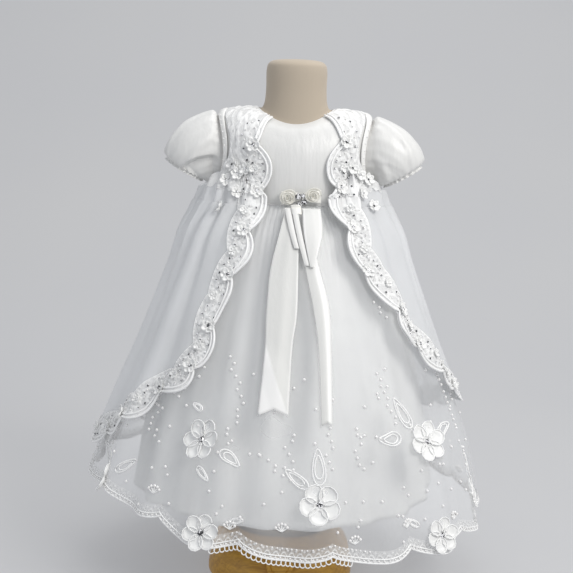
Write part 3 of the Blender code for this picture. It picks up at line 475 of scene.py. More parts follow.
def largeFoldAt(turn):
    total = np.zeros(np.shape(turn))
    for crest, depth, reach in largeFolds:
        total += depth * roundedBump(turnsApart(turn, crest) / reach)
    return total


foldDraw = np.random.default_rng(smallFolds["seed"])
foldCount = smallFolds["count"]
smallCrests = (np.arange(foldCount) + foldDraw.uniform(-0.4, 0.4, foldCount)) * 360 / foldCount
smallReaches = foldDraw.uniform(smallFolds["narrowest"], smallFolds["widest"], foldCount)
smallDepths = foldDraw.uniform(smallFolds["shallowest"], smallFolds["deepest"], foldCount)
smallStarts = foldDraw.uniform(-1.5, 4.5, foldCount)
smallLeans = foldDraw.uniform(-0.8, 0.8, foldCount)


def sumSmallFolds(turn, row):
    total = np.zeros(np.broadcast(turn, row).shape)
    for crest, reach, depth, start, lean in zip(smallCrests, smallReaches, smallDepths, smallStarts,
                                                smallLeans):
        share = np.clip((row - start) / 3.0, 0, 1)
        total += share * depth * roundedBump(turnsApart(turn - lean * row, crest) / reach)
    return total


# summed once into a table of quarter degrees and tenths of a row
foldTable = sumSmallFolds(np.arange(-180, 180.01, 0.25)[None, :], np.arange(0, 9.01, 0.1)[:, None])
largeTable = largeFoldAt(np.arange(-180, 180.01, 0.1))


def largeFoldRead(turn):
    spot = ((turn + 180) % 360) * 10
    low = np.minimum(spot.astype(int), len(largeTable) - 2)
    share = spot - low
    return largeTable[low] * (1 - share) + largeTable[low + 1] * share


def smallFoldAt(turn, row):
    return readTable(foldTable, np.clip(row, 0, 9) * 10, ((turn + 180) % 360) * 4)


def gatherAt(turn, row):
    wave = np.sin(np.radians(turn) * 360 / gathers["pitch"] + 1.7 * np.sin(np.radians(turn) * 11))
    return gathers["depth"] * wave * np.exp(-((row - 0.8) / gathers["fade"]) ** 2) * np.clip(row * 2, 0, 1)


def flarePlace(rows, turn, row, fine=1.0, gathered=1.0):
    angle = np.radians(turn)
    turn, row = np.broadcast_arrays(np.asarray(turn, float), np.asarray(row, float))
    out = readRows(rows["fold"], row) * largeFoldRead(turn)
    if fine:
        out = out + fine * (smallFoldAt(turn, row) + gathered * gatherAt(turn, row))
    return np.stack([(readRows(rows["halfWidth"], row) + out) * np.cos(angle),
                     (readRows(rows["halfDepth"], row) + out) * np.sin(angle),
                     readRows(rows["height"], row)], axis=-1)


def skirtPlace(turn, row):
    return flarePlace(skirt, turn, row)


def underCoatPlace(turn, row):
    # the skirt without its gathers: the coat over it hangs smoothly
    return flarePlace(skirt, turn, row, 0.55, 0.0)


def liningPlace(turn, row):
    return flarePlace(lining, turn, row, 0.45)


def bodicePlace(turn, level):
    return ringPlace(torso, turn, level)


def plainPlace(turn, level):
    # torso, waist and skirt without the fine folds, which the coat's edge is measured on
    upper = ringPlace(torso, turn, np.minimum(level, 7.0))
    lower = flarePlace(skirt, turn, np.maximum(level - 8.0, 0.0), 0)
    share = np.clip(level - 7.0, 0.0, 1.0)[..., None]
    return upper * (1 - share) + lower * share


def outAt(place, turn, level):
    across = place(turn + 0.25, level) - place(turn - 0.25, level)
    down = place(turn, level + 0.01) - place(turn, np.maximum(level - 0.01, 0.0))
    out = np.cross(down, across)
    return out / np.maximum(np.linalg.norm(out, axis=-1, keepdims=True), 1e-12)


coatEase = {
    "front": (.0021, .0021, .0021, .0023, .0034, .0052, .0072, .0085, .0058, .0040, .0030,
              .0026, .0022, .0022, .0022, .0022, .0022),
    "side": (.0021, .0021, .0021, .0023, .0030, .0090, .0240, .0335, .0250, .0165, .0130,
             .0110, .0100, .0090, .0080, .0060, .0050),
    "back": (.0021, .0024, .0036, .0052, .0060, .0065, .0080, .0095, .0060, .0040, .0030,
             .0030, .0030, .0030, .0030, .0030, .0030),
    "nearEase": 0.0030,
}
coatFolds = {"pitch": 15.0, "depth": 0.0070}


def easedPlace(place, turn, level, step):
    angle = np.radians(turn)
    end = np.where(np.sin(angle) < 0, readRows(coatEase["front"], step), readRows(coatEase["back"], step))
    amount = end + (readRows(coatEase["side"], step) - end) * np.abs(np.cos(angle)) ** 1.6
    # the coat's own folds stand further out where it hangs free
    wave = 0.5 + 0.5 * np.sin(np.radians(turn) * 360 / coatFolds["pitch"] + 2.2 * np.sin(np.radians(turn) * 5))
    loose = np.clip((amount - 0.004) / 0.012, 0, 1)
    amount = amount + coatFolds["depth"] * loose * (wave - 0.35)
    out = outAt(place, turn, level)
    out[..., 2] *= np.minimum(1.0, coatEase["nearEase"] / amount) ** 2
    out /= np.linalg.norm(out, axis=-1, keepdims=True)
    return place(turn, level) + out * amount[..., None]


def coatPlace(turn, level):
    turn, level = np.broadcast_arrays(np.asarray(turn, float), np.asarray(level, float))
    upper = easedPlace(bodicePlace, turn, np.minimum(level, 6.0), np.minimum(level, 6.0))
    row = np.maximum(level - 8.0, 0.0)
    lower = easedPlace(underCoatPlace, turn, row, row + 7.0)
    share = np.clip((level - 6.0) / 2.0, 0.0, 1.0)[..., None]
    share = share * share * (3 - 2 * share)
    return upper * (1 - share) + lower * share


# sheets: grids of points that remember their turn and level

def gridSheet(place, turns, levels):
    # levels may change along the row, as at a scalloped hem
    turns = np.asarray(turns, float)
    levels = np.asarray(levels, float)
    if levels.ndim == 1:
        levels = np.repeat(levels[:, None], len(turns), axis=1)
    turns = np.repeat(turns[None, :], len(levels), axis=0)
    points = place(turns, levels)
    rows, columns = turns.shape
    index = np.arange(rows * columns).reshape(rows, columns)
    a, b = index[:-1, :-1].ravel(), index[:-1, 1:].ravel()
    c, d = index[1:, :-1].ravel(), index[1:, 1:].ravel()
    steps = np.linalg.norm(np.diff(points, axis=0, prepend=points[:1]), axis=2)
    down = np.cumsum(steps, axis=0)
    across = np.radians(turns) * 0.2
    return {"turn": turns.ravel(), "level": levels.ravel(), "place": points.reshape(-1, 3),
            "out": outAt(place, turns, levels).reshape(-1, 3),
            "uv": gridUv(across, -down),
            "faces": np.concatenate([np.stack([a, c, d], 1), np.stack([a, d, b], 1)])}


def trim(sheet, inside):
    # keep the cloth where inside is positive, cutting the triangles that cross the line
    inside = np.where(np.abs(inside) < 2e-5, 0.0, inside)
    faces = sheet["faces"]
    signs = inside[faces]
    whole = faces[(signs >= 0).all(axis=1) & (signs.max(axis=1) > 0)]
    crossing = faces[(signs.min(axis=1) < 0) & (signs.max(axis=1) > 0)]
    names = [n for n in sheet if n != "faces"]
    count = len(inside)
    ends, shares, made, fresh = [], [], {}, []

    def cut(i, j):
        key = (min(i, j), max(i, j))
        if key not in made:
            made[key] = count + len(ends)
            ends.append(key)
            shares.append(inside[key[0]] / (inside[key[0]] - inside[key[1]]))
        return made[key]

    for face in crossing.tolist():
        corners = []
        for i, j in zip(face, face[1:] + face[:1]):
            if inside[i] >= 0:
                corners.append(i)
            if inside[i] * inside[j] < 0:
                corners.append(cut(i, j))
        fresh += [(corners[0], corners[n], corners[n + 1]) for n in range(1, len(corners) - 1)]
    ends, shares = np.array(ends, int).reshape(-1, 2), np.array(shares)
    result = {}
    for name in names:
        old = sheet[name]
        start, end = old[ends[:, 0]], old[ends[:, 1]]
        mixed = start + (end - start) * (shares[:, None] if old.ndim > 1 else shares)
        result[name] = np.concatenate([old, mixed])
    faces = np.concatenate([whole, np.array(fresh, int).reshape(-1, 3)])
    used, index = np.unique(faces.ravel(), return_inverse=True)
    result = {name: value[used] for name, value in result.items()}
    result["faces"] = index.reshape(-1, 3)
    return result


def gridFaces(shape, downFirst=True):
    # one face with four corners between neighbouring rows and columns
    index = np.arange(shape[0] * shape[1]).reshape(shape)
    second, fourth = index[1:, :-1].ravel(), index[:-1, 1:].ravel()
    if not downFirst:
        second, fourth = fourth, second
    return np.stack([index[:-1, :-1].ravel(), second, index[1:, 1:].ravel(), fourth], 1)


def tubeFaces(shape, downFirst=False):
    # the same, with the last column joined to the first
    index = np.arange(shape[0] * shape[1]).reshape(shape)
    a, b = index[:-1].ravel(), np.roll(index, -1, axis=1)[:-1].ravel()
    c, d = index[1:].ravel(), np.roll(index, -1, axis=1)[1:].ravel()
    return np.stack([a, c, d, b] if downFirst else [a, b, d, c], 1)


def newPiece(name, points, faces, material, uv=None, values=None):
    mesh = bpy.data.meshes.new(name)
    lifted = np.array(points, float)
    lifted[:, 2] += datum
    mesh.from_pydata(lifted.tolist(), [], [tuple(f) for f in np.asarray(faces).tolist()]
                     if isinstance(faces, np.ndarray) else faces)
    mesh.shade_smooth()
    mesh.materials.append(material)
    corners = np.zeros(len(mesh.loops), int)
    mesh.loops.foreach_get("vertex_index", corners)
    if uv is not None:
        layer = mesh.uv_layers.new(name="cloth")
        layer.data.foreach_set("uv", np.asarray(uv, np.float32)[corners].ravel())
    for label, value in (values or {}).items():
        mesh.attributes.new(label, "FLOAT", "POINT").data.foreach_set("value", np.asarray(value, np.float32))
    piece = bpy.data.objects.new(name, mesh)
    bpy.context.scene.collection.objects.link(piece)
    return piece


def clothPiece(name, sheet, material, off=0.0, thick=0.0, values=None):
    # off is how far the cloth's underside lies from its surface
    points = sheet["place"] + sheet["out"] * (off + thick / 2 if np.isscalar(off) else off[:, None])
    piece = newPiece(name, points, sheet["faces"], material, uv=sheet["uv"], values=values)
    if thick:
        addWall(piece, thick)
    return piece


def useModifier(piece, kind, **values):
    modifier = piece.modifiers.new(kind.lower(), kind)
    for name, value in values.items():
        setattr(modifier, name, value)
    bpy.ops.object.select_all(action="DESELECT")
    bpy.context.view_layer.objects.active = piece
    piece.select_set(True)
    bpy.ops.object.modifier_apply(modifier=modifier.name)
    piece.select_set(False)


def addWall(piece, thick):
    useModifier(piece, "SOLIDIFY", thickness=thick, offset=0.0)


def settle(piece, node=None):
    # every piece rides on the one body, and most stand for a CAD node
    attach(piece, "root")
    if node:
        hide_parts(node)
    return piece


def frontTurns(count):
    return np.linspace(-180, 0, count)


def backTurns(count):
    return np.linspace(0, 180, count)


armhole = {"height": 0.544, "halfHeight": 0.0420, "halfDepth": 0.0310, "bodiceEase": 0.0048,
           "coatHalfHeight": 0.0512, "coatHalfDepth": 0.0460, "foot": 0.47}


def outsideArm(sheet, halfHeight, halfDepth):
    place = sheet["place"]
    around = np.hypot(place[:, 1] / halfDepth, (place[:, 2] - armhole["height"]) / halfHeight)
    return np.where(place[:, 2] < armhole["foot"], 1.0, (around - 1) * halfDepth)


# bodice: a front and two backs, closed by three small buttons

bodice = {"thick": 0.0009, "off": 0.0006, "columns": 110, "rows": 64, "drag": 0.0006, "pucker": 0.0003,
          "deepest": 0.0002}


def makeBodice():
    levels = np.linspace(0, 7, bodice["rows"])
    made = []
    half = bodice["columns"] // 2
    for name, node, turns in (("bodiceFront", "bodice_front", frontTurns(bodice["columns"])),
                              ("bodiceBackRight", "bodice_back_right", np.linspace(0, 90, half)),
                              ("bodiceBackLeft", "bodice_back_left", np.linspace(90, 180, half))):
        sheet = gridSheet(bodicePlace, turns, levels)
        sheet = trim(sheet, outsideArm(sheet, armhole["halfHeight"] + armhole["bodiceEase"],
                                       armhole["halfDepth"] + armhole["bodiceEase"]))
        # a little ease over the waist seam and soft drags from the armholes
        turn, level = sheet["turn"], sheet["level"]
        drag = bodice["drag"] * np.sin(np.radians(turn) * 9 + level * 0.9)
        drag = drag * np.clip(level / 3, 0, 1) * np.clip((7 - level) * 2, 0, 1)
        pucker = bodice["pucker"] * np.sin(np.radians(turn) * 120) * np.clip(level - 6.2, 0, 1)
        lift = np.maximum(drag + pucker, -bodice["deepest"]) + bodice["off"] + bodice["thick"] / 2
        piece = clothPiece(name, sheet, satin, lift)
        addWall(piece, bodice["thick"])
        made.append(settle(piece, node))
    return made


# lining and organza skirt

hem = {"height": 0.087, "tilt": 0.022, "rise": 0.004, "scallops": 15, "firstLobe": -113, "depth": 0.013,
       "lift": 0.012, "liftTurn": -145, "liftReach": 38}
liningCut = {"columns": 200, "rows": 50, "thick": 0.0006}
skirtCut = {"columns": 360, "rows": 90}


def lobesAt(length, size, depth):
    return depth * np.abs(np.sin(np.pi * length / size)) ** 0.7


def hemHeight(turn):
    lobe = 360 / hem["scallops"]
    angle = np.radians(turn)
    lobes = lobesAt(turn - hem["firstLobe"] + lobe / 2, lobe, hem["depth"])
    lift = hem["lift"] * roundedBump(turnsApart(turn, hem["liftTurn"]) / hem["liftReach"])
    return hem["height"] - hem["tilt"] * np.cos(angle) - lobes + hem["rise"] * np.sin(angle) + lift


def makeLining():
    made = []
    for name, node, turns in (("liningFront", "lining_front", frontTurns(liningCut["columns"])),
                              ("liningBack", "lining_back", backTurns(liningCut["columns"]))):
        sheet = gridSheet(liningPlace, turns, np.linspace(0, 6, liningCut["rows"]))
        piece = clothPiece(name, sheet, liningSatin, 0.0, liningCut["thick"])
        made.append(settle(piece, node))
    return made


def makeSkirt():
    made = []
    for name, node, turns in (("skirtFront", "skirt_front", frontTurns(skirtCut["columns"])),
                              ("skirtBack", "skirt_back", backTurns(skirtCut["columns"]))):
        last = levelAt(skirt, hemHeight(turns))
        share = np.linspace(0, 1, skirtCut["rows"]) ** 0.8
        sheet = gridSheet(skirtPlace, turns, share[:, None] * last[None, :])
        piece = clothPiece(name, sheet, skirtOrganza, 0.0004)
        made.append(settle(piece, node))
    return made


def makeWaistSeam():
    # a fine piped seam where the skirt joins the bodice
    turns = np.linspace(-180, 180, 361)
    place = bodicePlace(turns, np.full(361, 7.0))
    out = outAt(bodicePlace, turns, np.full(361, 6.9))
    line = place + out * 0.0013
    line[:, 2] -= 0.0001
    return line


bodicePieces = makeBodice()
liningPieces = makeLining()
skirtPieces = makeSkirt()
print("bodice, lining and skirt")


# the coat's edge, measured along its length

coatEdge = {
    "turn": (-44, -47, -58, -67, -66, -63, -61, -56, -47, -41, -32, -21, -8, 4, 20, 45, 90, 135, 165,
             185, 199, 214, 225, 236, 242, 243, 247, 251, 252, 254, 255, 247, 238, 236),
    "level": (0.0, 0.9, 2.4, 4.1, 6.0, 8.8, 10.0, 11.0, 11.6, 12.3, 12.9, 13.4, 13.9, 14.3, 14.7, 15.1,
              15.4, 15.5, 15.4, 15.3, 15.0, 14.4, 13.8, 13.4, 12.7, 11.9, 11.2, 10.2, 9.0, 6.2, 4.1,
              2.4, 0.9, 0.0),
    "lobes": 28, "firstLobe": 0.075, "depth": 0.012, "laceWidth": 0.032, "outerDepth": 0.006,
    "neckLevel": 0.15, "near": 0.004,
}
edgeReads = np.linspace(0, len(coatEdge["turn"]) - 1, (len(coatEdge["turn"]) - 1) * 12 + 1)
edgeTurns = readRows(coatEdge["turn"], edgeReads)
edgeLevels = readRows(coatEdge["level"], edgeReads)
edgePoints = plainPlace(edgeTurns, edgeLevels)
edgeLengths = walkedAlong(edgePoints)
edgeLength = edgeLengths[-1]
lobeSize = (edgeLength - 2 * coatEdge["firstLobe"]) / coatEdge["lobes"]


edgeTree = KDTree(len(edgePoints))
for number, spot in enumerate(edgePoints.tolist()):
    edgeTree.insert(spot, number)
edgeTree.balance()


def readEdge(turn, level):
    # metres inside the edge, and metres along it
    place = plainPlace(turn, level)
    nearest = np.array([edgeTree.find(spot)[1] for spot in place.tolist()])
    inside, along = np.full(len(turn), 9.0), np.zeros(len(turn))
    spans = np.diff(edgePoints, axis=0)
    out = np.stack([place[:, 0], place[:, 1], np.where(level < 4, 0.10, 0.0)], axis=1)
    for shift in (-1, 0):
        part = np.clip(nearest + shift, 0, len(spans) - 1)
        span, start = spans[part], edgePoints[part]
        share = np.clip(((place - start) * span).sum(1) / (span**2).sum(1), 0, 1)
        step = place - start - span * share[:, None]
        distance = np.linalg.norm(step, axis=1)
        closer = distance < np.abs(inside)
        side = (np.cross(out, span) * step).sum(1)
        inside = np.where(closer, np.copysign(distance, side), inside)
        along = np.where(closer, edgeLengths[part] + np.linalg.norm(span, axis=1) * share, along)
    return inside, along


def scallopAt(along):
    # how far inside the measured line the scalloped edge lies
    depth = coatEdge["depth"]
    return depth - lobesAt(along - coatEdge["firstLobe"] + lobeSize / 2, lobeSize, depth)


def laceWidthAt(along):
    return coatEdge["laceWidth"] + lobesAt(along - coatEdge["firstLobe"], lobeSize, coatEdge["outerDepth"])


def readAlong(along):
    # turn and level on the measured line
    return np.interp(along, edgeLengths, edgeTurns), np.interp(along, edgeLengths, edgeLevels)


def edgePlace(along, inside):
    # the turn and level of a point given by metres along the edge and metres inside it
    along, inside = np.broadcast_arrays(np.asarray(along, float), np.asarray(inside, float))
    turn, level = readAlong(along)
    near = coatEdge["near"]
    forward = plainPlace(*readAlong(along + near)) - plainPlace(*readAlong(along - near))
    forward /= np.linalg.norm(forward, axis=-1, keepdims=True)
    steps = 4
    for step in range(steps):
        out = outAt(plainPlace, turn, level)
        inward = np.cross(out, forward)
        inward /= np.linalg.norm(inward, axis=-1, keepdims=True)
        wanted = inward * (inside / steps)[..., None]
        byTurn = (plainPlace(turn + 0.2, level) - plainPlace(turn - 0.2, level)) / 0.4
        byLevel = (plainPlace(turn, level + 0.02) - plainPlace(turn, np.maximum(level - 0.02, 0))) / 0.04
        tt, tl, ll = (byTurn * byTurn).sum(-1), (byTurn * byLevel).sum(-1), (byLevel * byLevel).sum(-1)
        wt, wl = (wanted * byTurn).sum(-1), (wanted * byLevel).sum(-1)
        scale = tt * ll - tl * tl
        turn = turn + (wt * ll - wl * tl) / scale
        level = np.maximum(level + (wl * tt - wt * tl) / scale, 0.0)
    return turn, level


def onCoat(along, inside, off=0.0):
    turn, level = edgePlace(along, inside)
    return coatPlace(turn, level) + outAt(coatPlace, turn, level) * np.asarray(off)[..., None]


# open coat: three organza panels, bound armholes

coatCut = {"off": 0.0004}


def coatSheets():
    upper = np.linspace(coatEdge["neckLevel"], 8, 74)
    lower = np.linspace(8, 15.9, 112)[1:]
    levels = np.concatenate([upper, lower])
    sheets = {}
    for name, turns in (("right", np.linspace(-76, 0, 160)), ("left", np.linspace(-180, -100, 170)),
                        ("back", np.linspace(0, 180, 280))):
        sheet = gridSheet(coatPlace, turns, levels)
        turn = np.where(sheet["turn"] < -95, sheet["turn"] + 360, sheet["turn"])
        sheet["inside"], sheet["along"] = readEdge(turn, sheet["level"])
        sheets[name] = sheet
    return sheets


def makeCoat(sheets):
    made = []
    for name, node in (("right", "coat_right"), ("left", "coat_left"), ("back", "coat_back")):
        sheet = sheets[name]
        sheet = trim(sheet, sheet["inside"] - scallopAt(sheet["along"]))
        sheet = trim(sheet, outsideArm(sheet, armhole["coatHalfHeight"], armhole["coatHalfDepth"]))
        piece = clothPiece("coat" + name.capitalize(), sheet, coatOrganza, coatCut["off"])
        made.append(settle(piece, node))
    return made


coatGrid = coatSheets()
coatPieces = makeCoat(coatGrid)
print("coat")


# puff sleeves: gathered at the armhole and at the elastic edge

sleeve = {
    "topX": (.1085, .1100, .1300, .1500, .1660, .1745, .1700),
    "topZ": (.5880, .5935, .5865, .5750, .5580, .5400, .5310),
    "lowX": (.1035, .1045, .1080, .1120, .1160, .1195, .1210),
    "lowZ": (.5010, .4995, .4985, .4985, .4995, .5015, .5030),
    "halfDepth": (.0320, .0350, .0390, .0400, .0385, .0340, .0290),
    "columns": 190, "rows": 64, "gatherCount": 23, "gatherDepth": 0.0014, "foldDepth": 0.0026,
    "lip": {1: 0.0015, -1: 0.0095},
    # how far each ring past the elastic is drawn in, and how far along it lies
    "frill": ((0.955, 0.0008), (0.945, 0.0018), (0.965, 0.0028), (0.985, 0.0036), (0.97, 0.0042)),
}


def torsoAt(y, height):
    # the turn and level where the right side of the torso has this depth and height
    level = np.interp(-height, -readRows(torso["side"], np.linspace(0, 7, 200)), np.linspace(0, 7, 200))
    for step in range(12):
        depth = readRows(torso["halfDepth"], level)
        turn = np.degrees(np.arcsin(np.clip(y / depth, -0.98, 0.98)))
        miss = bodicePlace(turn, level)[..., 2] - height
        below = bodicePlace(turn, np.minimum(level + 0.05, 7))
        above = bodicePlace(turn, np.maximum(level - 0.05, 0))
        slope = (below - above)[..., 2] / 0.1
        level = np.clip(level - 0.8 * miss / slope, 0.0, 7.0)
    return turn, level


def sleeveRoot(angle):
    y = armhole["halfDepth"] * np.sin(np.radians(angle))
    z = armhole["height"] + armhole["halfHeight"] * np.cos(np.radians(angle))
    turn, level = torsoAt(y, z)
    return bodicePlace(turn, level) + outAt(bodicePlace, turn, level) * 0.0006


def sleevePlace(side, angle, row):
    # row 0 at the armhole and 6 at the elastic edge, angle 0 at the top, 90 at the back, 270 at the front
    turn = np.radians(angle)
    topX, topZ = readRows(sleeve["topX"], row), readRows(sleeve["topZ"], row)
    lowX, lowZ = readRows(sleeve["lowX"], row), readRows(sleeve["lowZ"], row)
    halfX, halfZ = (topX - lowX) / 2, (topZ - lowZ) / 2
    edges = 0.5 * np.exp(-(row / 0.8) ** 2) + np.exp(-((6.0 - row) / 0.7) ** 2)
    wave = sleeve["gatherDepth"] * np.cos(turn * sleeve["gatherCount"] + 1.4 * np.sin(turn * 3) + side)
    wave = wave * (0.12 + edges)
    # a few long folds run slantwise from the gathers into the puff
    middle = np.sin(np.pi * np.clip(row / 6, 0, 1))
    wave = wave + sleeve["foldDepth"] * middle * np.maximum(0, np.cos(turn * 5 + 0.9 * row + 1.3 * side)) ** 3
    # the upper puff hangs over the lower part, which falls back beneath it
    past = (265 - angle) + 3.0 * (row - 3)
    recess = sleeve["lip"][side] * np.clip(past / 7, 0, 1) * np.clip((75 - past) / 60, 0, 1)
    recess = recess * np.clip(row / 1.2, 0, 1) * np.clip((6.2 - row) / 1.8, 0, 1) * (past > 0)
    grow = 1 + (wave - recess) / np.hypot(halfX, halfZ)
    x = (topX + lowX) / 2 + halfX * np.cos(turn) * grow
    y = readRows(sleeve["halfDepth"], row) * np.sin(turn) * grow
    z = (topZ + lowZ) / 2 + halfZ * np.cos(turn) * grow
    placed = np.stack([x, y, z], axis=-1)
    root = np.clip(1 - row, 0, 1)[..., None]
    placed = placed * (1 - root) + sleeveRoot(angle) * root
    placed[..., 0] *= side
    return placed


def makeSleeves():
    made = []
    for name, side in (("sleeveRight", 1), ("sleeveLeft", -1)):
        angles = np.linspace(0, 360, sleeve["columns"], endpoint=False)
        rows = np.linspace(0, 6, sleeve["rows"])
        angle, row = np.meshgrid(angles, rows)
        points = sleevePlace(side, angle, row)
        points = np.concatenate([points, elasticFrill(side, angles)], axis=0)
        faces = tubeFaces(points.shape[:2])
        if side > 0:
            faces = faces[:, ::-1]
        down = np.cumsum(np.linalg.norm(np.diff(points, axis=0, prepend=points[:1]), axis=2), axis=0)
        across = np.broadcast_to(np.radians(angles) * 0.04, down.shape)
        piece = newPiece(name, points.reshape(-1, 3), faces, satin, uv=gridUv(across, down))
        made.append(settle(piece, "sleeve_right" if side > 0 else "sleeve_left"))
    return made


def elasticFrill(side, angles):
    # past the elastic the cloth is drawn in, then flares a little and turns under
    edge = sleevePlace(side, angles, np.full(len(angles), 6.0))
    middle = edge.mean(axis=0)
    along = np.array((side * 0.55, 0.0, -0.83))
    rows = []
    for step, (pull, out) in enumerate(sleeve["frill"]):
        ripple = 1 + 0.02 * np.cos(np.radians(angles) * 31)[:, None] * step / 4
        rows.append(middle + (edge - middle) * pull * ripple + along * out)
    return np.array(rows)


sleevePieces = makeSleeves()


# form and base

formRings = {
    # neck, then the torso's own rings, then the limbless lower part
    "side": (.6655, .6640, .6600, .6500, .6250, .6060, *torso["side"],
             .4400, .3800, .3000, .2000, .1100, .0064),
    "front": (.6655, .6640, .6600, .6500, .6180, .5920, *torso["front"],
              .4400, .3800, .3000, .2000, .1100, .0064),
    "back": (.6655, .6640, .6600, .6500, .6200, .5990, *torso["back"],
             .4400, .3800, .3000, .2000, .1100, .0064),
    "halfWidth": (.0010, .0260, .0370, .0405, .0405, .0425, *torso["halfWidth"],
                  .0895, .0945, .0930, .0800, .0640, .0550),
    "halfDepth": (.0010, .0250, .0360, .0395, .0390, .0400, *torso["halfDepth"],
                  .0690, .0750, .0745, .0660, .0560, .0500),
    "columns": 84, "rows": 120, "seamDepth": 0.0006,
}


def makeForm():
    rows, columns = formRings["rows"], formRings["columns"]
    level = np.linspace(0, len(formRings["side"]) - 1, rows)
    turns = np.linspace(-180, 180, columns, endpoint=False)
    turn, level = np.meshgrid(turns, level)
    points = ringPlace(formRings, turn, level)
    # shallow seams where the cover is sewn, at the sides and the centre back
    for seam in (0.0, 180.0, 90.0):
        shrink = 1 - formRings["seamDepth"] / 0.07 * np.exp(-(turnsApart(turn, seam) / 2.5) ** 2)
        points[..., :2] *= shrink[..., None]
    points[..., :2] *= 0.9985
    faces = [tuple(f) for f in tubeFaces((rows, columns), downFirst=True).tolist()]
    faces.append(tuple(range(columns)))
    faces.append(tuple(range(rows * columns - 1, (rows - 1) * columns - 1, -1)))
    piece = newPiece("dressForm", points.reshape(-1, 3), faces, jersey)
    settle(piece, "form")
    return piece


base = {"radius": 0.109, "lobes": 4, "groove": 0.017, "dish": 0.050, "columns": 240, "drum": 0.064,
        "shoulder": 0.010,
        # how far each ring of the top is drawn in, and how far it then rises
        "rings": ((0.001, 0.0050), (0.0015, 0.0060), (0.0020, 0.0060), (0.0025, 0.0052), (0.0035, 0.0052),
                  (0.0045, 0.0056), (0.0045, 0.0054), (0.0050, 0.0056), (0.0050, 0.0048), (0.0050, 0.0036),
                  (0.0035, 0.0016), (0.0030, -0.0012), (0.0045, -0.0070), (0.0045, -0.0092)),
        "bossRings": ((0.0022, -0.0014), (0.0026, -0.0004), (0.0012, 0.0012), (0.0014, -0.0012),
                      (0.0040, -0.0008))}


def startEditing(piece):
    bpy.ops.object.select_all(action="DESELECT")
    bpy.context.view_layer.objects.active = piece
    piece.select_set(True)
    bpy.ops.object.mode_set(mode="EDIT")
    bpy.ops.mesh.select_all(action="DESELECT")
    return bmesh.from_edit_mesh(piece.data)


def stopEditing(piece, smoothAngle=40):
    bpy.ops.mesh.select_all(action="SELECT")
    bpy.ops.mesh.normals_make_consistent(inside=False)
    bpy.ops.object.mode_set(mode="OBJECT")
    bpy.ops.object.shade_smooth_by_angle(angle=math.radians(smoothAngle))
    bpy.ops.object.transform_apply(location=True, rotation=True, scale=True)
    piece.select_set(False)


def makeBase():
    # the top face of a drum is inset ring by ring, and each ring is lifted to the rim or sunk to the dish
    bpy.ops.mesh.primitive_cylinder_add(vertices=base["columns"], radius=base["radius"], depth=base["drum"],
                                        location=(0, 0, base["drum"] / 2), end_fill_type="NGON")
    piece = bpy.context.active_object
    piece.name = "plinth"
    work = startEditing(piece)
    top = max(work.faces, key=lambda face: face.calc_center_median().z)
    top.select = True
    bmesh.update_edit_mesh(piece.data)
    bpy.ops.transform.translate(value=(0, 0, base["shoulder"] - base["drum"]))
    for inset, rise in base["rings"]:
        bpy.ops.mesh.inset(thickness=inset)
        bpy.ops.transform.translate(value=(0, 0, rise))
    work = bmesh.from_edit_mesh(piece.data)
    # the rings are drawn in between the lobes
    for vertex in work.verts:
        reach = math.hypot(vertex.co.x, vertex.co.y)
        if reach < 0.01:
            continue
        turn = math.atan2(vertex.co.y, vertex.co.x)
        inset = base["radius"] - reach
        groove = base["groove"] * (1 - abs(math.sin(base["lobes"] * turn / 2)) ** 0.6)
        groove *= max(0.0, 1 - inset / base["dish"])
        vertex.co.x *= (reach - groove) / reach
        vertex.co.y *= (reach - groove) / reach
    bmesh.update_edit_mesh(piece.data)
    bpy.ops.mesh.select_all(action="DESELECT")
    foot = 0.0001 - base["drum"] / 2
    for edge in work.edges:
        if all(vertex.co.z < foot for vertex in edge.verts):
            edge.select = True
    bmesh.update_edit_mesh(piece.data)
    bpy.ops.mesh.bevel(offset=0.0025, segments=3, affect="EDGES")
    stopEditing(piece, 50)
    piece.data.materials.append(wood)
    return settle(piece, "base")


def makeBoss():
    # a turned button on the front of the plinth: a drum, stepped and rounded in edit mode
    low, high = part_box("base_boss")
    bpy.ops.mesh.primitive_cylinder_add(vertices=64, radius=(high.x - low.x) / 2, depth=high.y - low.y,
                                        location=((low + high) / 2), rotation=(math.radians(90), 0, 0))
    piece = bpy.context.active_object
    piece.name = "plinthBoss"
    bpy.ops.object.transform_apply(location=False, rotation=True, scale=True)
    work = startEditing(piece)
    face = min(work.faces, key=lambda f: f.calc_center_median().y)
    face.select = True
    bmesh.update_edit_mesh(piece.data)
    for inset, push in base["bossRings"]:
        bpy.ops.mesh.inset(thickness=inset)
        bpy.ops.transform.translate(value=(0, push, 0))
    bpy.ops.mesh.select_all(action="DESELECT")
    stopEditing(piece, 40)
    piece.data.materials.append(wood)
    return settle(piece, "base_boss")


makeForm()
makeBase()
makeBoss()
print("sleeves, form and base")


# thread, beads and other small things that repeat

def tubeMesh(lines, radius, sides=6):
    # thread laid along each line of points, closed at both ends
    points, faces, count = [], [], 0
    for line in lines:
        line = np.asarray(line, float)
        steps = np.gradient(line, axis=0)
        steps /= np.maximum(np.linalg.norm(steps, axis=1, keepdims=True), 1e-12)
        side = np.cross(steps, (0.31, 0.11, 0.94))
        side /= np.maximum(np.linalg.norm(side, axis=1, keepdims=True), 1e-9)
        up = np.cross(side, steps)
        angles = np.arange(sides) * 2 * np.pi / sides
        across, above = np.cos(angles)[None, :, None], np.sin(angles)[None, :, None]
        ring = radius * (side[:, None] * across + up[:, None] * above)
        points.append((line[:, None] + ring).reshape(-1, 3))
        faces += [tuple(f) for f in (count + tubeFaces((len(line), sides))).tolist()]
        last = count + (len(line) - 1) * sides
        faces += [tuple(range(count + sides - 1, count - 1, -1)), tuple(range(last, last + sides))]
        count += len(line) * sides
    return np.concatenate(points), faces


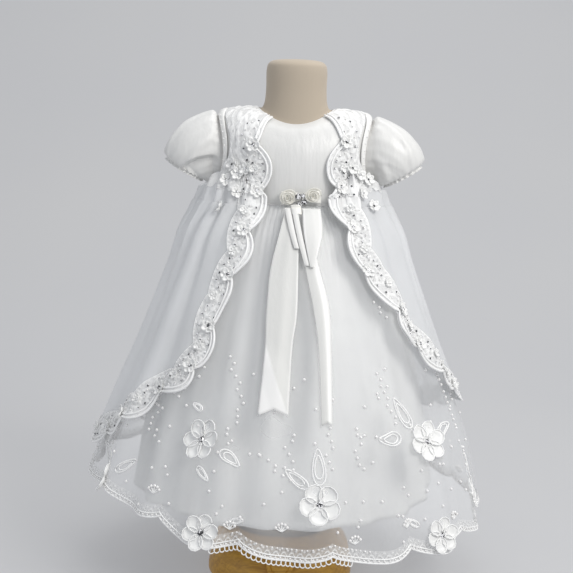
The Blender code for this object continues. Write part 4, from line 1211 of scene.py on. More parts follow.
def readBack(piece):
    # the small shape's points and faces, for copies
    bpy.ops.object.mode_set(mode="OBJECT")
    points = np.array([v.co for v in piece.data.vertices])
    faces = [tuple(p.vertices) for p in piece.data.polygons]
    bpy.data.meshes.remove(piece.data)
    return points, faces


def beadShape(segments, rings):
    # one bead, a little flattened where it lies on the cloth, read back as points and faces
    bpy.ops.mesh.primitive_uv_sphere_add(segments=segments, ring_count=rings, radius=1.0, location=(0, 0, 0))
    bead = bpy.context.active_object
    startEditing(bead)
    bpy.ops.mesh.select_all(action="SELECT")
    bpy.ops.transform.resize(value=(1, 1, 0.85))
    return readBack(bead)


def axesFor(outs):
    outs = np.asarray(outs, float)
    side = np.cross(outs, (0.03, 0.02, 1.0))
    side /= np.maximum(np.linalg.norm(side, axis=1, keepdims=True), 1e-9)
    up = np.cross(outs, side)
    return side, up, outs


def scatterShape(shape, places, outs, sizes):
    # copies of one small shape, its Z turned to each way out
    points, faces = shape
    side, up, out = axesFor(outs)
    sizes = np.broadcast_to(np.asarray(sizes, float), (len(places),))
    turned = sum(points[None, :, n:n + 1] * axis[:, None] for n, axis in enumerate((side, up, out)))
    placed = np.asarray(places)[:, None] + sizes[:, None, None] * turned
    many = []
    for n in range(len(places)):
        start = n * len(points)
        many += [tuple(i + start for i in face) for face in faces]
    return placed.reshape(-1, 3), many


def joinShapes(parts):
    points, faces, count = [], [], 0
    for some, theirs in parts:
        points.append(some)
        faces += [tuple(i + count for i in face) for face in theirs]
        count += len(some)
    return np.concatenate(points), faces


def trimming(name, parts, material):
    points, faces = joinShapes(parts)
    piece = newPiece(name, points, faces, material)
    return settle(piece)


roundBead = beadShape(6, 4)


def stoneShape():
    # a cut stone: a short cone with its top face drawn in and its foot narrowed
    bpy.ops.mesh.primitive_cone_add(vertices=8, radius1=1.0, radius2=0.62, depth=0.5, location=(0, 0, 0.35))
    cut = bpy.context.active_object
    bpy.ops.object.transform_apply(location=True, rotation=False, scale=False)
    work = startEditing(cut)
    for face in work.faces:
        face.select = face.calc_center_median().z < 0.2 and len(face.verts) == 8
    bmesh.update_edit_mesh(cut.data)
    bpy.ops.mesh.extrude_region_move(TRANSFORM_OT_translate={"value": (0, 0, -0.4)})
    bpy.ops.transform.resize(value=(0.5, 0.5, 1))
    return readBack(cut)


cutStone = stoneShape()


def joinSpots(spots):
    return np.concatenate([spot[0] for spot in spots]), np.concatenate([spot[1] for spot in spots])


def beadPiece(name, spots, size):
    # round beads at every (places, outs) pair
    return trimming(name, [scatterShape(roundBead, *joinSpots(spots), size)], pearl)


def stonePiece(name, parts):
    piece = trimming(name, parts, stone)
    piece.data.shade_flat()
    return piece


# coat lace: an embroidered band with a corded, scalloped edge

laceBand = {"columnStep": 0.0012, "rows": 34, "shoulderLevel": 6.1, "lift": 0.0012, "relief": 0.0013,
            # how far in from the scallops each cord lies, and its radius
            "cords": ((0.0014, 0.0015), (0.0066, 0.0012))}
# across, in from the edge, half length, half width and slant of each stitched leaf, in mm
laceLeaves = ((14, 11, 6.0, 2.6, 25), (21, 17, 6.0, 2.5, -40), (24, 12.5, 4.6, 2.0, 35),
              (12.5, 25, 5.5, 2.4, 60), (4, 31, 4.4, 2.0, -30), (19, 27, 4.6, 2.0, 5),
              (8, 5.5, 4.5, 1.8, -15), (27, 30, 4.4, 1.8, 40))
# across, in from the edge, radius and petals of each stitched flower, in mm
laceFlowers = ((0, 17, 11.0, 6), (32.6, 22, 7.5, 5), (21, 22.5, 3.4, 5))
laceStems = {"middle": 20.0, "upper": 46.0, "swing": 5.0, "width": 0.8, "halfPitch": 16.3}


def stitchField(shapes, u, v):
    # shapes are (u, v, half length, half width, slant); returns how solid and how high the thread stands
    solid, height = np.zeros(u.shape), np.zeros(u.shape)
    for cu, cv, longest, widest, slant in shapes:
        near = (np.abs(u - cu) < longest + 1) & (np.abs(v - cv) < longest + 1)
        if not near.any():
            continue
        c, s = math.cos(math.radians(slant)), math.sin(math.radians(slant))
        du, dv = u[near] - cu, v[near] - cv
        x, y = du * c + dv * s, dv * c - du * s
        # narrower towards the outer end, like a leaf
        width = widest * (1 - 0.25 * x / longest)
        reach = np.hypot(x / longest, y / width)
        solid[near] = np.maximum(solid[near], np.clip((1 - reach) * widest / 0.7 + 0.3, 0, 1))
        dome = np.sqrt(np.clip(1 - reach**2, 0, 1)) * (1 - 0.4 * np.exp(-((y / (0.22 * widest)) ** 2)))
        height[near] = np.maximum(height[near], dome)
    return solid, height


def flowerPetals(cu, cv, radius, petals, start=0.0):
    shapes = [(cu, cv, 0.2 * radius, 0.2 * radius, 0)]
    for n in range(petals):
        angle = start + 360 * n / petals
        c, s = math.cos(math.radians(angle)), math.sin(math.radians(angle))
        shapes.append((cu + 0.60 * radius * c, cv + 0.60 * radius * s,
                       0.42 * radius, 0.27 * radius * 6 / petals, angle))
    return shapes


def laceShapes():
    # the first spray along the edge, and a looser one above it for the shoulders
    shapes = [(0, 42, 5.5, 2.4, 90), (0, 58, 5.0, 2.2, 90)]
    for side in (1, -1):
        shapes += flowerPetals(side * 16, 49, 8.5, 6, 15)
        shapes += [(side * 5, 50, 5.0, 2.2, side * 20), (side * 29, 41, 5.5, 2.4, side * 50),
                   (side * 29, 57, 5.5, 2.2, -side * 50), (side * 14, 37, 4.5, 2.0, 0),
                   (side * 8, 61, 5.0, 2.2, side * 30)]
    for side in (1, -1):
        for u, v, longest, widest, slant in laceLeaves:
            shapes.append((side * u, v, longest, widest, side * slant))
        for u, v, radius, petals in laceFlowers:
            if u or side > 0:
                shapes += flowerPetals(side * u, v, radius, petals, 20 * side)
    return shapes


def laceFieldAt(along, inside):
    # each lobe of the edge carries one spray, turned about from lobe to lobe
    lobe = np.floor((along - coatEdge["firstLobe"]) / lobeSize)
    u = ((along - coatEdge["firstLobe"]) / lobeSize - lobe - 0.5) * lobeSize * 1000
    u = np.where(lobe % 2 == 0, u, -u)
    v = inside * 1000
    solid, height = stitchField(laceShapes(), u, v)
    wave = u * np.pi / laceStems["halfPitch"]
    stem = np.minimum(np.abs(v - laceStems["middle"] - laceStems["swing"] * np.sin(wave)),
                      np.abs(v - laceStems["upper"] - laceStems["swing"] * np.cos(wave)))
    line = np.clip(1.6 - stem / laceStems["width"], 0, 1)
    edge = (inside - scallopAt(along)) * 1000
    hemmed = np.clip((8.0 - edge) / 0.6, 0, 1)
    back = (laceWidthAt(along) - inside) * 1000
    picots = np.clip((2.4 + 1.2 * np.cos(along * 2 * np.pi / 0.0062) - np.abs(back)) / 0.7, 0, 1)
    solid = np.maximum.reduce([solid, line, hemmed * 0.85, picots])
    height = np.maximum.reduce([height, line * 0.4, hemmed * 0.25, picots * 0.4])
    # the net between has its own small holes
    net = 0.5 + 0.5 * np.cos(u * 2.9 + v * 1.7) * np.cos(u * 1.6 - v * 2.9)
    return np.maximum(solid, 0.30 * net), height


# the first and last turn of each band along the edge
laceSpans = {"right": (-90.0, 0.0), "back": (0.0, 180.0), "left": (180.0, 300.0)}


def laceAlongs(name):
    first, last = laceSpans[name]
    fine = np.arange(0, edgeLength, laceBand["columnStep"])
    turn, level = readAlong(fine)
    return fine[(turn >= first) & (turn <= last) & (level >= coatEdge["neckLevel"])]


def laceSheet(name):
    # a strip whose columns run along the edge and whose rows run across the band
    along, share = np.meshgrid(laceAlongs(name), np.linspace(0, 1, laceBand["rows"]))
    first = scallopAt(along) + 0.0006
    inside = first + share * (laceWidthAt(along) - first)
    turn, level = edgePlace(along, inside)
    solid, height = laceFieldAt(along, inside)
    lift = laceBand["lift"] + laceBand["relief"] * height
    points = coatPlace(turn, level) + outAt(coatPlace, turn, level) * lift[..., None]
    return points.reshape(-1, 3), gridFaces(along.shape, downFirst=False), solid.ravel(), gridUv(along, inside)


def clearOfArm(points):
    around = np.hypot(points[..., 1] / (armhole["coatHalfDepth"] + 0.002),
                      (points[..., 2] - armhole["height"]) / (armhole["coatHalfHeight"] + 0.002))
    return (around > 1) | (points[..., 2] < armhole["foot"])


def makeLace():
    made = []
    for name in ("right", "left", "back"):
        points, faces, solid, uv = laceSheet(name)
        faces = faces[clearOfArm(points)[faces].all(axis=1)]
        used, index = np.unique(faces.ravel(), return_inverse=True)
        piece = newPiece("lace" + name.capitalize(), points[used], index.reshape(-1, 4), lace,
                         uv=uv[used], values={"stitched": solid[used]})
        made.append(settle(piece, "lace_" + name))
    return made


def makeShoulderLace():
    # over the shoulders the applique runs on from the band to the armhole
    made = []
    for name in ("right", "left"):
        sheet = coatGrid[name]
        sheet = trim(sheet, sheet["inside"] - laceWidthAt(sheet["along"]) + 0.0015)
        ragged = 0.25 * np.sin(sheet["turn"] * 0.55) + 0.12 * np.sin(sheet["turn"] * 1.7)
        sheet = trim(sheet, (laceBand["shoulderLevel"] + ragged - sheet["level"]) * 0.01)
        sheet = trim(sheet, outsideArm(sheet, armhole["coatHalfHeight"] + 0.001,
                                       armhole["coatHalfDepth"] + 0.001))
        solid, height = laceFieldAt(sheet["along"], sheet["inside"])
        solid = np.maximum(solid, np.clip(0.9 - (laceBand["shoulderLevel"] + 0.3 - sheet["level"]) * 2, 0, 1))
        piece = clothPiece("shoulderLace" + name.capitalize(), sheet, lace,
                           laceBand["lift"] * 0.8 + laceBand["relief"] * height, 0.0, {"stitched": solid})
        made.append(settle(piece))
    return made


def coatCords():
    made = []
    for name in ("right", "left", "back"):
        along = laceAlongs(name)[::2]
        off = np.full(len(along), laceBand["lift"] + 0.0012)
        parts = [tubeMesh([onCoat(along, scallopAt(along) + inside, off)], radius)
                 for inside, radius in laceBand["cords"]]
        made.append(trimming("coatCord" + name.capitalize(), parts, stitching))
    return made


# raised satin petals, used on the lace and on the skirt

petal = {"rings": 3, "segments": 12, "lift": 0.0012, "cup": 0.15, "wall": 0.0007, "outline": 0.0007,
         "beadRing": 0.0062, "middle": 0.56, "reach": 0.46, "taper": 0.12, "overlap": 0.0009, "ripple": 0.0006}


def petalMesh(centre, side, up, out, radius, petals, start, rise):
    # each petal is a round, cupped disc that overlaps the next; also returns the petals' outlines
    points, faces, outlines = [], [], []
    r, a = np.meshgrid(np.linspace(0, 1, petal["rings"] + 1)[1:],
                       np.arange(petal["segments"]) * 2 * np.pi / petal["segments"], indexing="ij")
    reach = petal["reach"] * radius
    half = reach * (5 / petals)
    for n in range(petals):
        angle = math.radians(start + 360 * n / petals)
        along = side * math.cos(angle) + up * math.sin(angle)
        across = up * math.cos(angle) - side * math.sin(angle)
        x = petal["middle"] * radius + reach * r * np.cos(a)
        y = half * r * np.sin(a) * (1 + petal["taper"] * np.cos(a))
        far = np.hypot(x, y) / radius
        lift = petal["lift"] + radius * (rise * far**1.5 - petal["cup"] * (1 - r**2))
        lift = lift + petal["overlap"] * (n % 2) + petal["ripple"] * np.cos(3 * a) * r
        lift = np.maximum(lift, petal["lift"] * 0.5 + 0.0004 * (n % 2))
        rim = centre + along * x[..., None] + across * y[..., None] + out * lift[..., None]
        sunk = max(lift[0].mean() - 0.0003, petal["lift"] * 0.5)
        middle = centre + along * petal["middle"] * radius + out * sunk
        first = len(points) * (petal["rings"] * petal["segments"] + 1)
        points.append(np.concatenate([middle[None], rim.reshape(-1, 3)]))
        for j in range(petal["segments"]):
            k = (j + 1) % petal["segments"]
            faces.append((first, first + 1 + j, first + 1 + k))
            for i in range(petal["rings"] - 1):
                low, high = first + 1 + i * petal["segments"], first + 1 + (i + 1) * petal["segments"]
                faces.append((low + j, high + j, high + k, low + k))
        outlines.append(np.concatenate([rim[-1], rim[-1][:2]]) + out * 0.0004)
    return np.concatenate(points), faces, outlines


def petalFlower(name, spots, radius, petals, rise, stitchTo=None):
    # spots are (place, out) pairs; every flower turns its own way
    parts, lines = [], []
    for number, (place, out) in enumerate(spots):
        side, up, out = (axis[0] for axis in axesFor([out]))
        start = 37 * number + len(name)
        points, faces, outlines = petalMesh(np.asarray(place), side, up, out, radius, petals, start, rise)
        parts.append((points, faces))
        lines += outlines
    points, faces = joinShapes(parts)
    if stitchTo is not None:
        stitchTo += lines
    piece = newPiece(name, points, faces, petalSatin)
    addWall(piece, petal["wall"])
    return settle(piece)


def coatSpots(along, inside, off=0.0):
    turn, level = edgePlace(np.asarray(along, float), np.asarray(inside, float))
    out = outAt(coatPlace, turn, level)
    place = coatPlace(turn, level) + out * off
    keep = clearOfArm(place) & (level > coatEdge["neckLevel"])
    return place[keep], out[keep]


def skirtSpots(turn, height, off=0.0):
    row = levelAt(skirt, height)
    turn, row = np.broadcast_arrays(np.asarray(turn, float), row)
    out = outAt(skirtPlace, turn, row)
    return skirtPlace(turn, row) + out * off, out


lobeTips = coatEdge["firstLobe"] + lobeSize * (np.arange(-1, coatEdge["lobes"] + 1) + 0.5)
lobeJoins = coatEdge["firstLobe"] + lobeSize * np.arange(0, coatEdge["lobes"] + 1)


shoulderFlowers = ((0.052, 0.050), (0.086, 0.046), (0.118, 0.040), (0.102, 0.060), (0.070, 0.034),
                   (0.138, 0.052))


def shoulderSpots():
    # the same places on both sides, counted from the neck down
    along, inside = np.array(shoulderFlowers).T
    return np.concatenate([along, edgeLength - along]), np.concatenate([inside, inside])


# along and in from the edge of each small stone in a lobe, in metres
smallStones = ((0.010, 0.0125), (-0.010, 0.0125), (0.022, 0.0245), (-0.021, 0.0240), (0.027, 0.0115),
               (-0.027, 0.0120), (0.013, 0.0300), (-0.013, 0.0300), (0.000, 0.0310), (0.0045, 0.0100))


# and of each bead
lobeBeads = ((0.012, 0.019), (-0.012, 0.019), (0.018, 0.014), (-0.018, 0.014), (0.0235, 0.019),
             (-0.0235, 0.019), (0.016, 0.0255), (-0.016, 0.0255), (0.008, 0.0275), (-0.008, 0.0275))


# radius, petals and rise of each kind of raised flower, then where they lie and the sizes beside them
raised = {"laceFlowers": (0.0095, 6, 0.28), "smallLaceFlowers": (0.0060, 5, 0.28),
          "shoulderFlowers": (0.0085, 6, 0.30)}
laceSizes = {"inside": 0.017, "joinInside": 0.023, "over": 0.0012, "topStone": 0.0020, "bigStone": 0.0026,
             "smallStone": 0.0016, "bead": 0.0012, "edgeBead": 0.0008, "ring": 0.0036, "edgeStep": 0.0085}


def lobeSpots(across, inside, off):
    # the same spot in every lobe
    return coatSpots(lobeTips + across, np.full(len(lobeTips), inside), off)


def laceTrims():
    off = laceBand["lift"] + laceSizes["over"]
    place, out = lobeSpots(0.0, laceSizes["inside"], off)
    joinPlace, joinOut = coatSpots(lobeJoins, np.full(len(lobeJoins), laceSizes["joinInside"]), off)
    topPlace, topOut = coatSpots(*shoulderSpots(), off)
    spots = ((place, out), (joinPlace, joinOut), (topPlace, topOut))
    made = [petalFlower(name, list(zip(*pair)), *cut) for (name, cut), pair in zip(raised.items(), spots)]
    # a stone in each large flower with a ring of beads, one pearl in each small one
    top = scatterShape(cutStone, topPlace + topOut * 0.0018, topOut, laceSizes["topStone"])
    big = scatterShape(cutStone, place + out * 0.0020, out, laceSizes["bigStone"])
    small = [scatterShape(cutStone, *lobeSpots(across, inside, off), laceSizes["smallStone"])
             for across, inside in smallStones]
    made += [stonePiece("shoulderStones", [top]), stonePiece("laceStones", [big] + small)]
    reach = laceSizes["ring"]
    ring = [lobeSpots(reach * math.cos(angle), laceSizes["inside"] + reach * math.sin(angle), off + 0.0024)
            for angle in np.arange(6) * math.pi / 3]
    ring += [lobeSpots(across, inside, off + 0.0004) for across, inside in lobeBeads]
    ring.append((joinPlace + joinOut * 0.0016, joinOut))
    made.append(beadPiece("laceBeads", ring, laceSizes["bead"]))
    # pearls in rows along both edges of the band
    along = np.arange(0.02, edgeLength - 0.02, laceSizes["edgeStep"])
    rows = [coatSpots(along, scallopAt(along) + 0.0034, off),
            coatSpots(along + 0.004, laceWidthAt(along) - 0.003, off)]
    made.append(beadPiece("edgeBeads", rows, laceSizes["edgeBead"]))
    return made


seamPiece = trimming("waistSeam", [tubeMesh([makeWaistSeam()], 0.0011)], satin)
lacePieces = makeLace() + makeShoulderLace()
laceTrimPieces = coatCords() + laceTrims()
print("lace")


# skirt hem and the embroidery on the skirt

hemBand = {"columns": 2200, "rows": 12, "width": 0.016, "lift": 0.0012, "relief": 0.0010, "beadStep": 0.0060,
           "loopTurns": (-108, -71), "loopPitch": 1.25, "loopWidth": 0.0060, "loopHeight": 0.0084,
           "archPitch": 9.0}
# turn, height and radius of each satin flower on the skirt
skirtFlowers = ((-115, .201, .022), (-42, .193, .022), (-80, .138, .023), (-111, .097, .021),
                (-43, .080, .021), (-8, .086, .021), (31, .091, .021), (67, .097, .021),
                (103, .102, .021), (139, .108, .020), (175, .114, .020), (-150, .122, .020))
# points of each beaded vine as turn and skirt row
vines = (
    ((-111, 4.8), (-107, 5.3), (-105, 5.6), (-106, 5.9), (-108, 6.15)),
    ((-100, 6.45), (-96, 6.45), (-92, 6.7), (-88, 6.9)),
    ((-49, 3.7), (-46, 3.95), (-43, 4.15)),
    ((-56, 5.1), (-54, 5.4), (-53, 5.7), (-50, 6.1)),
    ((-60, 6.2), (-65, 6.15), (-67, 6.4), (-68, 6.75)),
    ((-78, 5.85), (-76, 6.1), (-77, 6.4), (-77, 6.75)),
    ((-87, 6.1), (-89, 6.3), (-88, 6.55), (-90, 6.75)),
    ((-20, 5.2), (-17, 5.7), (-19, 6.2), (-15, 6.6)),
    ((-140, 5.6), (-137, 6.0), (-139, 6.4)),
)
beading = {"step": 0.0085, "sway": 0.9, "size": 0.0021, "strewn": 210, "seed": 11, "rows": (5.0, 7.9)}
# radii that turn metres along the skirt into degrees, then how far its embroidery stands off and its threads
embroidery = {"leafReach": 0.24, "hemReach": 0.25, "off": 0.0016, "leafThread": 0.0010, "fanThread": 0.0008,
              "fanLength": 0.008, "fanSpread": (-60, -30, 0, 30, 60), "innerLeaf": 0.66}
# flower, mm to the right of it and above it, length in mm and lean in degrees of each double-line leaf
leafLoops = ((1, 38, -18, 30, -35), (1, 9, -37, 20, -40), (1, -20, 34, 18, 165), (2, -25, 36, 38, 112),
             (2, -56, 10, 42, 172), (2, 62, 2, 36, 12), (3, 0, 42, 40, 92), (3, -26, 27, 32, 146),
             (4, 38, 16, 16, 20), (5, -34, 20, 20, 150), (6, -8, 40, 34, 98), (6, -36, 12, 30, 165),
             (7, 36, 18, 30, 25), (8, 0, 40, 34, 88), (9, -34, 20, 30, 150), (10, 34, 22, 30, 35),
             (11, 0, 40, 34, 92), (12, -34, 22, 30, 150), (12, 32, 24, 28, 40))
# turn and skirt row of the single beads near the hem, then turn and height over the hem of each fan
lowBeads = ((-109.7, 6.79), (-110.2, 7.15), (-106.6, 7.43), (-68.0, 7.68), (-61.9, 7.32), (-46.0, 6.91),
            (-45.5, 7.31), (-41.4, 7.66), (-56.4, 8.19), (-95, 7.3), (-101, 7.6), (-33, 7.0), (-25, 7.5))
fans = ((-128, .030), (-104, .020), (-90, .034), (-70, .022), (-54, .030), (-32, .024), (-16, .030), (15, .02),
        (52, .02), (85, .02), (120, .02), (158, .02))


def hemSheet(turns, share):
    turn, part = np.meshgrid(turns, share)
    above = part * hemBand["width"]
    row = levelAt(skirt, hemHeight(turn) + 0.0002 + above)
    place, out = skirtPlace(turn, row), outAt(skirtPlace, turn, row)
    u, v = np.radians(turn) * 240, above * 1000
    # in mm: arches of thread along the edge, a solid line at the foot and dots between the arches
    pitch = hemBand["archPitch"]
    wave = np.abs(np.sin(np.pi * u / pitch))
    arch = np.clip(1.5 - np.abs(v - 4.0 - 6.5 * wave) / 0.9, 0, 1)
    foot = np.clip((3.4 - v) / 0.8, 0, 1)
    second = np.clip(1.4 - np.abs(v - 6.0) / 0.9, 0, 1)
    dot = np.clip(1.6 - np.hypot((u + pitch / 2) % pitch - pitch / 2, v - 13.0) / 1.1, 0, 1)
    solid = np.maximum.reduce([arch, foot, second, dot])
    points = place + out * (hemBand["lift"] + hemBand["relief"] * solid)[..., None]
    return points.reshape(-1, 3), gridFaces(turn.shape), solid.ravel(), gridUv(np.radians(turn) * 0.24, above)


def makeHem():
    made = []
    for name, first, last in (("hemLaceFront", -180, 0), ("hemLaceBack", 0, 180)):
        turns = np.linspace(first, last, hemBand["columns"] // 2)
        points, faces, solid, uv = hemSheet(turns, np.linspace(0, 1, hemBand["rows"]))
        piece = newPiece(name, points, faces, hemLace, uv=uv, values={"stitched": solid})
        made.append(settle(piece))
    turns = np.linspace(-180, 180, 1100)
    parts = []
    for above, radius in ((0.0012, 0.0011), (0.0062, 0.0008)):
        place = skirtSpots(turns, hemHeight(turns) + above, hemBand["lift"] + 0.0008)[0]
        parts.append(tubeMesh([place], radius))
    # small loops stand below the edge over the front
    angle = np.linspace(0, 2 * np.pi, 15)
    for centre in np.arange(*hemBand["loopTurns"], hemBand["loopPitch"]):
        around = centre + np.degrees(hemBand["loopWidth"] / 2 * np.sin(angle) / embroidery["hemReach"])
        heights = hemHeight(np.full(15, centre)) - 0.0012 + hemBand["loopHeight"] / 2 * np.cos(angle)
        parts.append(tubeMesh([skirtSpots(around, heights, hemBand["lift"] + 0.0010)[0]],
                              embroidery["fanThread"], 5))
    made.append(trimming("hemCords", parts, stitching))
    turns = np.arange(-180, 180, math.degrees(hemBand["beadStep"] / 0.26))
    dense = turns[(turns > -104) & (turns < -66)] + 0.4
    off = hemBand["lift"] + 0.0012
    rows = [skirtSpots(turns, hemHeight(turns) + 0.0040, off),
            skirtSpots(dense, hemHeight(dense) + 0.0150, off)]
    made.append(beadPiece("hemBeads", rows, 0.0014))
    return made


def smoothLine(points, count):
    points = np.asarray(points, float)
    steps = np.linspace(0, len(points) - 1, count)
    return np.stack([readRows(points[:, n], steps) for n in range(points.shape[1])], axis=1)


def heightOf(row):
    return readRows(skirt["height"], row)


def threadPiece(name, lines):
    # lines are (points, radius) pairs
    return trimming(name, [tubeMesh([line], radius, 5) for line, radius in lines], stitching)


def makeEmbroidery():
    off = embroidery["off"]
    threads, beads = [], []
    for vine in vines:
        line = smoothLine(vine, 9 * len(vine))
        place = skirtSpots(line[:, 0], heightOf(line[:, 1]), off)[0]
        # beads a set step apart, swaying from side to side
        walked = walkedAlong(place)
        marks = np.arange(0, walked[-1], beading["step"])
        turn = np.interp(marks, walked, line[:, 0]) + beading["sway"] * np.sin(np.arange(len(marks)) * 2.1)
        beads.append(skirtSpots(turn, heightOf(np.interp(marks, walked, line[:, 1])), off + 0.0004))
    for flower, right, above, length, lean in leafLoops:
        turn, height = skirtFlowers[flower - 1][:2]
        angle = np.linspace(0, 2 * np.pi, 33)[:-1]
        for scale in (1.0, embroidery["innerLeaf"]):
            x = np.cos(angle) * length / 2000 * scale
            y = np.sin(angle) * length / 5600 * scale * (1 - 0.35 * np.cos(angle))
            c, s = math.cos(math.radians(lean)), math.sin(math.radians(lean))
            side, rise = right / 1000 + x * c - y * s, above / 1000 + x * s + y * c
            place = skirtSpots(turn + np.degrees(side / embroidery["leafReach"]), height + rise, off)[0]
            threads.append((np.concatenate([place, place[:2]]), embroidery["leafThread"]))
    for turn, above in fans:
        foot = hemHeight(np.array([float(turn)]))[0] + above
        reach = np.linspace(0, embroidery["fanLength"], 7)
        for spread in embroidery["fanSpread"]:
            turns = turn + np.degrees(reach * math.sin(math.radians(spread)) / embroidery["hemReach"])
            heights = foot + reach * math.cos(math.radians(spread))
            threads.append((skirtSpots(turns, heights, off)[0], embroidery["fanThread"]))
            beads.append(skirtSpots(turns[-1:], heights[-1:] + 0.001, off + 0.0006))
    # single beads strewn all round below the knee of the skirt
    draw = np.random.default_rng(beading["seed"])
    strewn = draw.uniform(-180, 180, beading["strewn"])
    beads.append(skirtSpots(strewn, heightOf(draw.uniform(*beading["rows"], beading["strewn"])), off))
    lowTurns, lowRows = np.array(lowBeads).T
    beads.append(skirtSpots(lowTurns, heightOf(lowRows), off + 0.0005))
    return [threadPiece("skirtThreads", threads), beadPiece("skirtBeads", beads, beading["size"])]


flowerCut = {"grow": 1.06, "upperGrow": 1.16, "rise": 0.10, "tilt": 0.15, "stone": 0.0042, "stoneOff": 0.0022,
             "bead": 0.0011, "beadOff": 0.0044}


def makeSkirtFlowers():
    made, outlines = [], []
    for number, (turn, height, radius) in enumerate(skirtFlowers, 1):
        place, out = skirtSpots(np.array([float(turn)]), np.array([height]), 0.0008)
        tilted = out[0] + np.array((0, 0, flowerCut["tilt"]))
        grown = radius * flowerCut["upperGrow" if number < 3 else "grow"]
        flower = petalFlower("skirtFlower%02d" % number, [(place[0], tilted / np.linalg.norm(tilted))],
                             grown, 6 if number % 3 else 5, flowerCut["rise"], outlines)
        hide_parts("flower_%02d" % number)
        made.append(flower)
    threads = threadPiece("flowerThreads", [(line, petal["outline"]) for line in outlines])
    turns, heights = np.array(skirtFlowers)[:, :2].T
    places, outs = skirtSpots(turns, heights, flowerCut["stoneOff"])
    stones = stonePiece("flowerStones", [scatterShape(cutStone, places, outs, flowerCut["stone"])])
    reach = petal["beadRing"]
    ring = [skirtSpots(turns + np.degrees(reach * math.cos(angle) / embroidery["leafReach"]),
                       heights + reach * math.sin(angle), flowerCut["beadOff"])
            for angle in np.arange(8) * math.pi / 4]
    return made, [threads, stones, beadPiece("flowerBeads", ring, flowerCut["bead"])]


hemPieces = makeHem()
embroideryPieces = makeEmbroidery()
flowerPieces, flowerTrims = makeSkirtFlowers()
print("hem, embroidery and flowers")


# ribbons and bow

# rows of height, left and right edge, then how the end is notched or how far the ribbon stands off
tails = {
    "Left": (((.476, -.008, .008), (.445, -.0155, .009), (.402, -.025, .010), (.350, -.028, .010),
              (.310, -.028, .0055), (.236, -.0335, .0035)), .008, "tail_left"),
    "Right": (((.476, .012, .024), (.417, .017, .033), (.360, .030, .050), (.310, .0385, .054),
               (.227, .0445, .057)), .004, "tail_right"),
}
hangingLoops = {
    "One": (((.476, -.010, -.003), (.450, -.003, .004), (.429, .004, .010)), "hanging_loop_1", .0030),
    "Two": (((.476, -.001, .006), (.440, .008, .015), (.409, .018, .024)), "hanging_loop_2", .0030),
    "Wide": (((.476, .013, .036), (.450, .015, .039), (.426, .020, .0345), (.4075, .025, .030)),
             "hanging_loop_wide", .0044),
}
ribbon = {"off": 0.0012, "wall": 0.0004, "across": 17, "down": 70, "foldTop": 0.318, "fold": 0.0030,
          "ridge": 0.0016, "crown": 0.0012, "loopOff": 0.0026}
frontHeights = np.linspace(0.200, 0.4775, 140)
frontAcross = np.linspace(-0.10, 0.12, 150)


def frontSurface():
    # how far forward the skirt's front stands, bridged over the narrow folds
    turns = np.linspace(-150, -30, 500)
    depth = np.zeros((len(frontHeights), len(frontAcross)))
    for number, row in enumerate(levelAt(skirt, frontHeights)):
        place = skirtPlace(turns, np.full(len(turns), row))
        depth[number] = np.interp(frontAcross, np.maximum.accumulate(place[:, 0]), place[:, 1])
    reach = 4
    padded = np.pad(depth, reach, mode="edge")
    shifts = [(i, j) for i in range(2 * reach + 1) for j in range(2 * reach + 1)]
    rows, columns = depth.shape
    lowest = np.minimum.reduce([padded[i:i + rows, j:j + columns] for i, j in shifts])
    padded = np.pad(lowest, reach, mode="edge")
    return sum(padded[i:i + rows, j:j + columns] for i, j in shifts) / len(shifts)


frontDepth = frontSurface()


def frontAt(x, height):
    down = (np.asarray(height) - frontHeights[0]) / (frontHeights[1] - frontHeights[0])
    across = (np.asarray(x) - frontAcross[0]) / (frontAcross[1] - frontAcross[0])
    return readTable(frontDepth, np.clip(down, 0, len(frontHeights) - 1.001),
                     np.clip(across, 0, len(frontAcross) - 1.001))


def ribbonPiece(name, x, y, heights, material, node=None, uv=None, highlightPaint=None, flip=False):
    faces = gridFaces(x.shape)[:, ::-1] if flip else gridFaces(x.shape)
    # the strength of the painted highlight goes on as a point attribute
    values = None if highlightPaint is None else {"highlightPaint": highlightPaint.ravel()}
    piece = newPiece(name, gridPoints(x, y, heights), faces, material, uv=uv, values=values)
    addWall(piece, ribbon["wall"])
    return settle(piece, node)


def ribbonEdges(rows, height):
    steps = np.linspace(0, len(rows) - 1, 120)
    heights = readRows([r[0] for r in rows], steps)
    left = np.interp(-height, -heights, readRows([r[1] for r in rows], steps))
    right = np.interp(-height, -heights, readRows([r[2] for r in rows], steps))
    return left, right


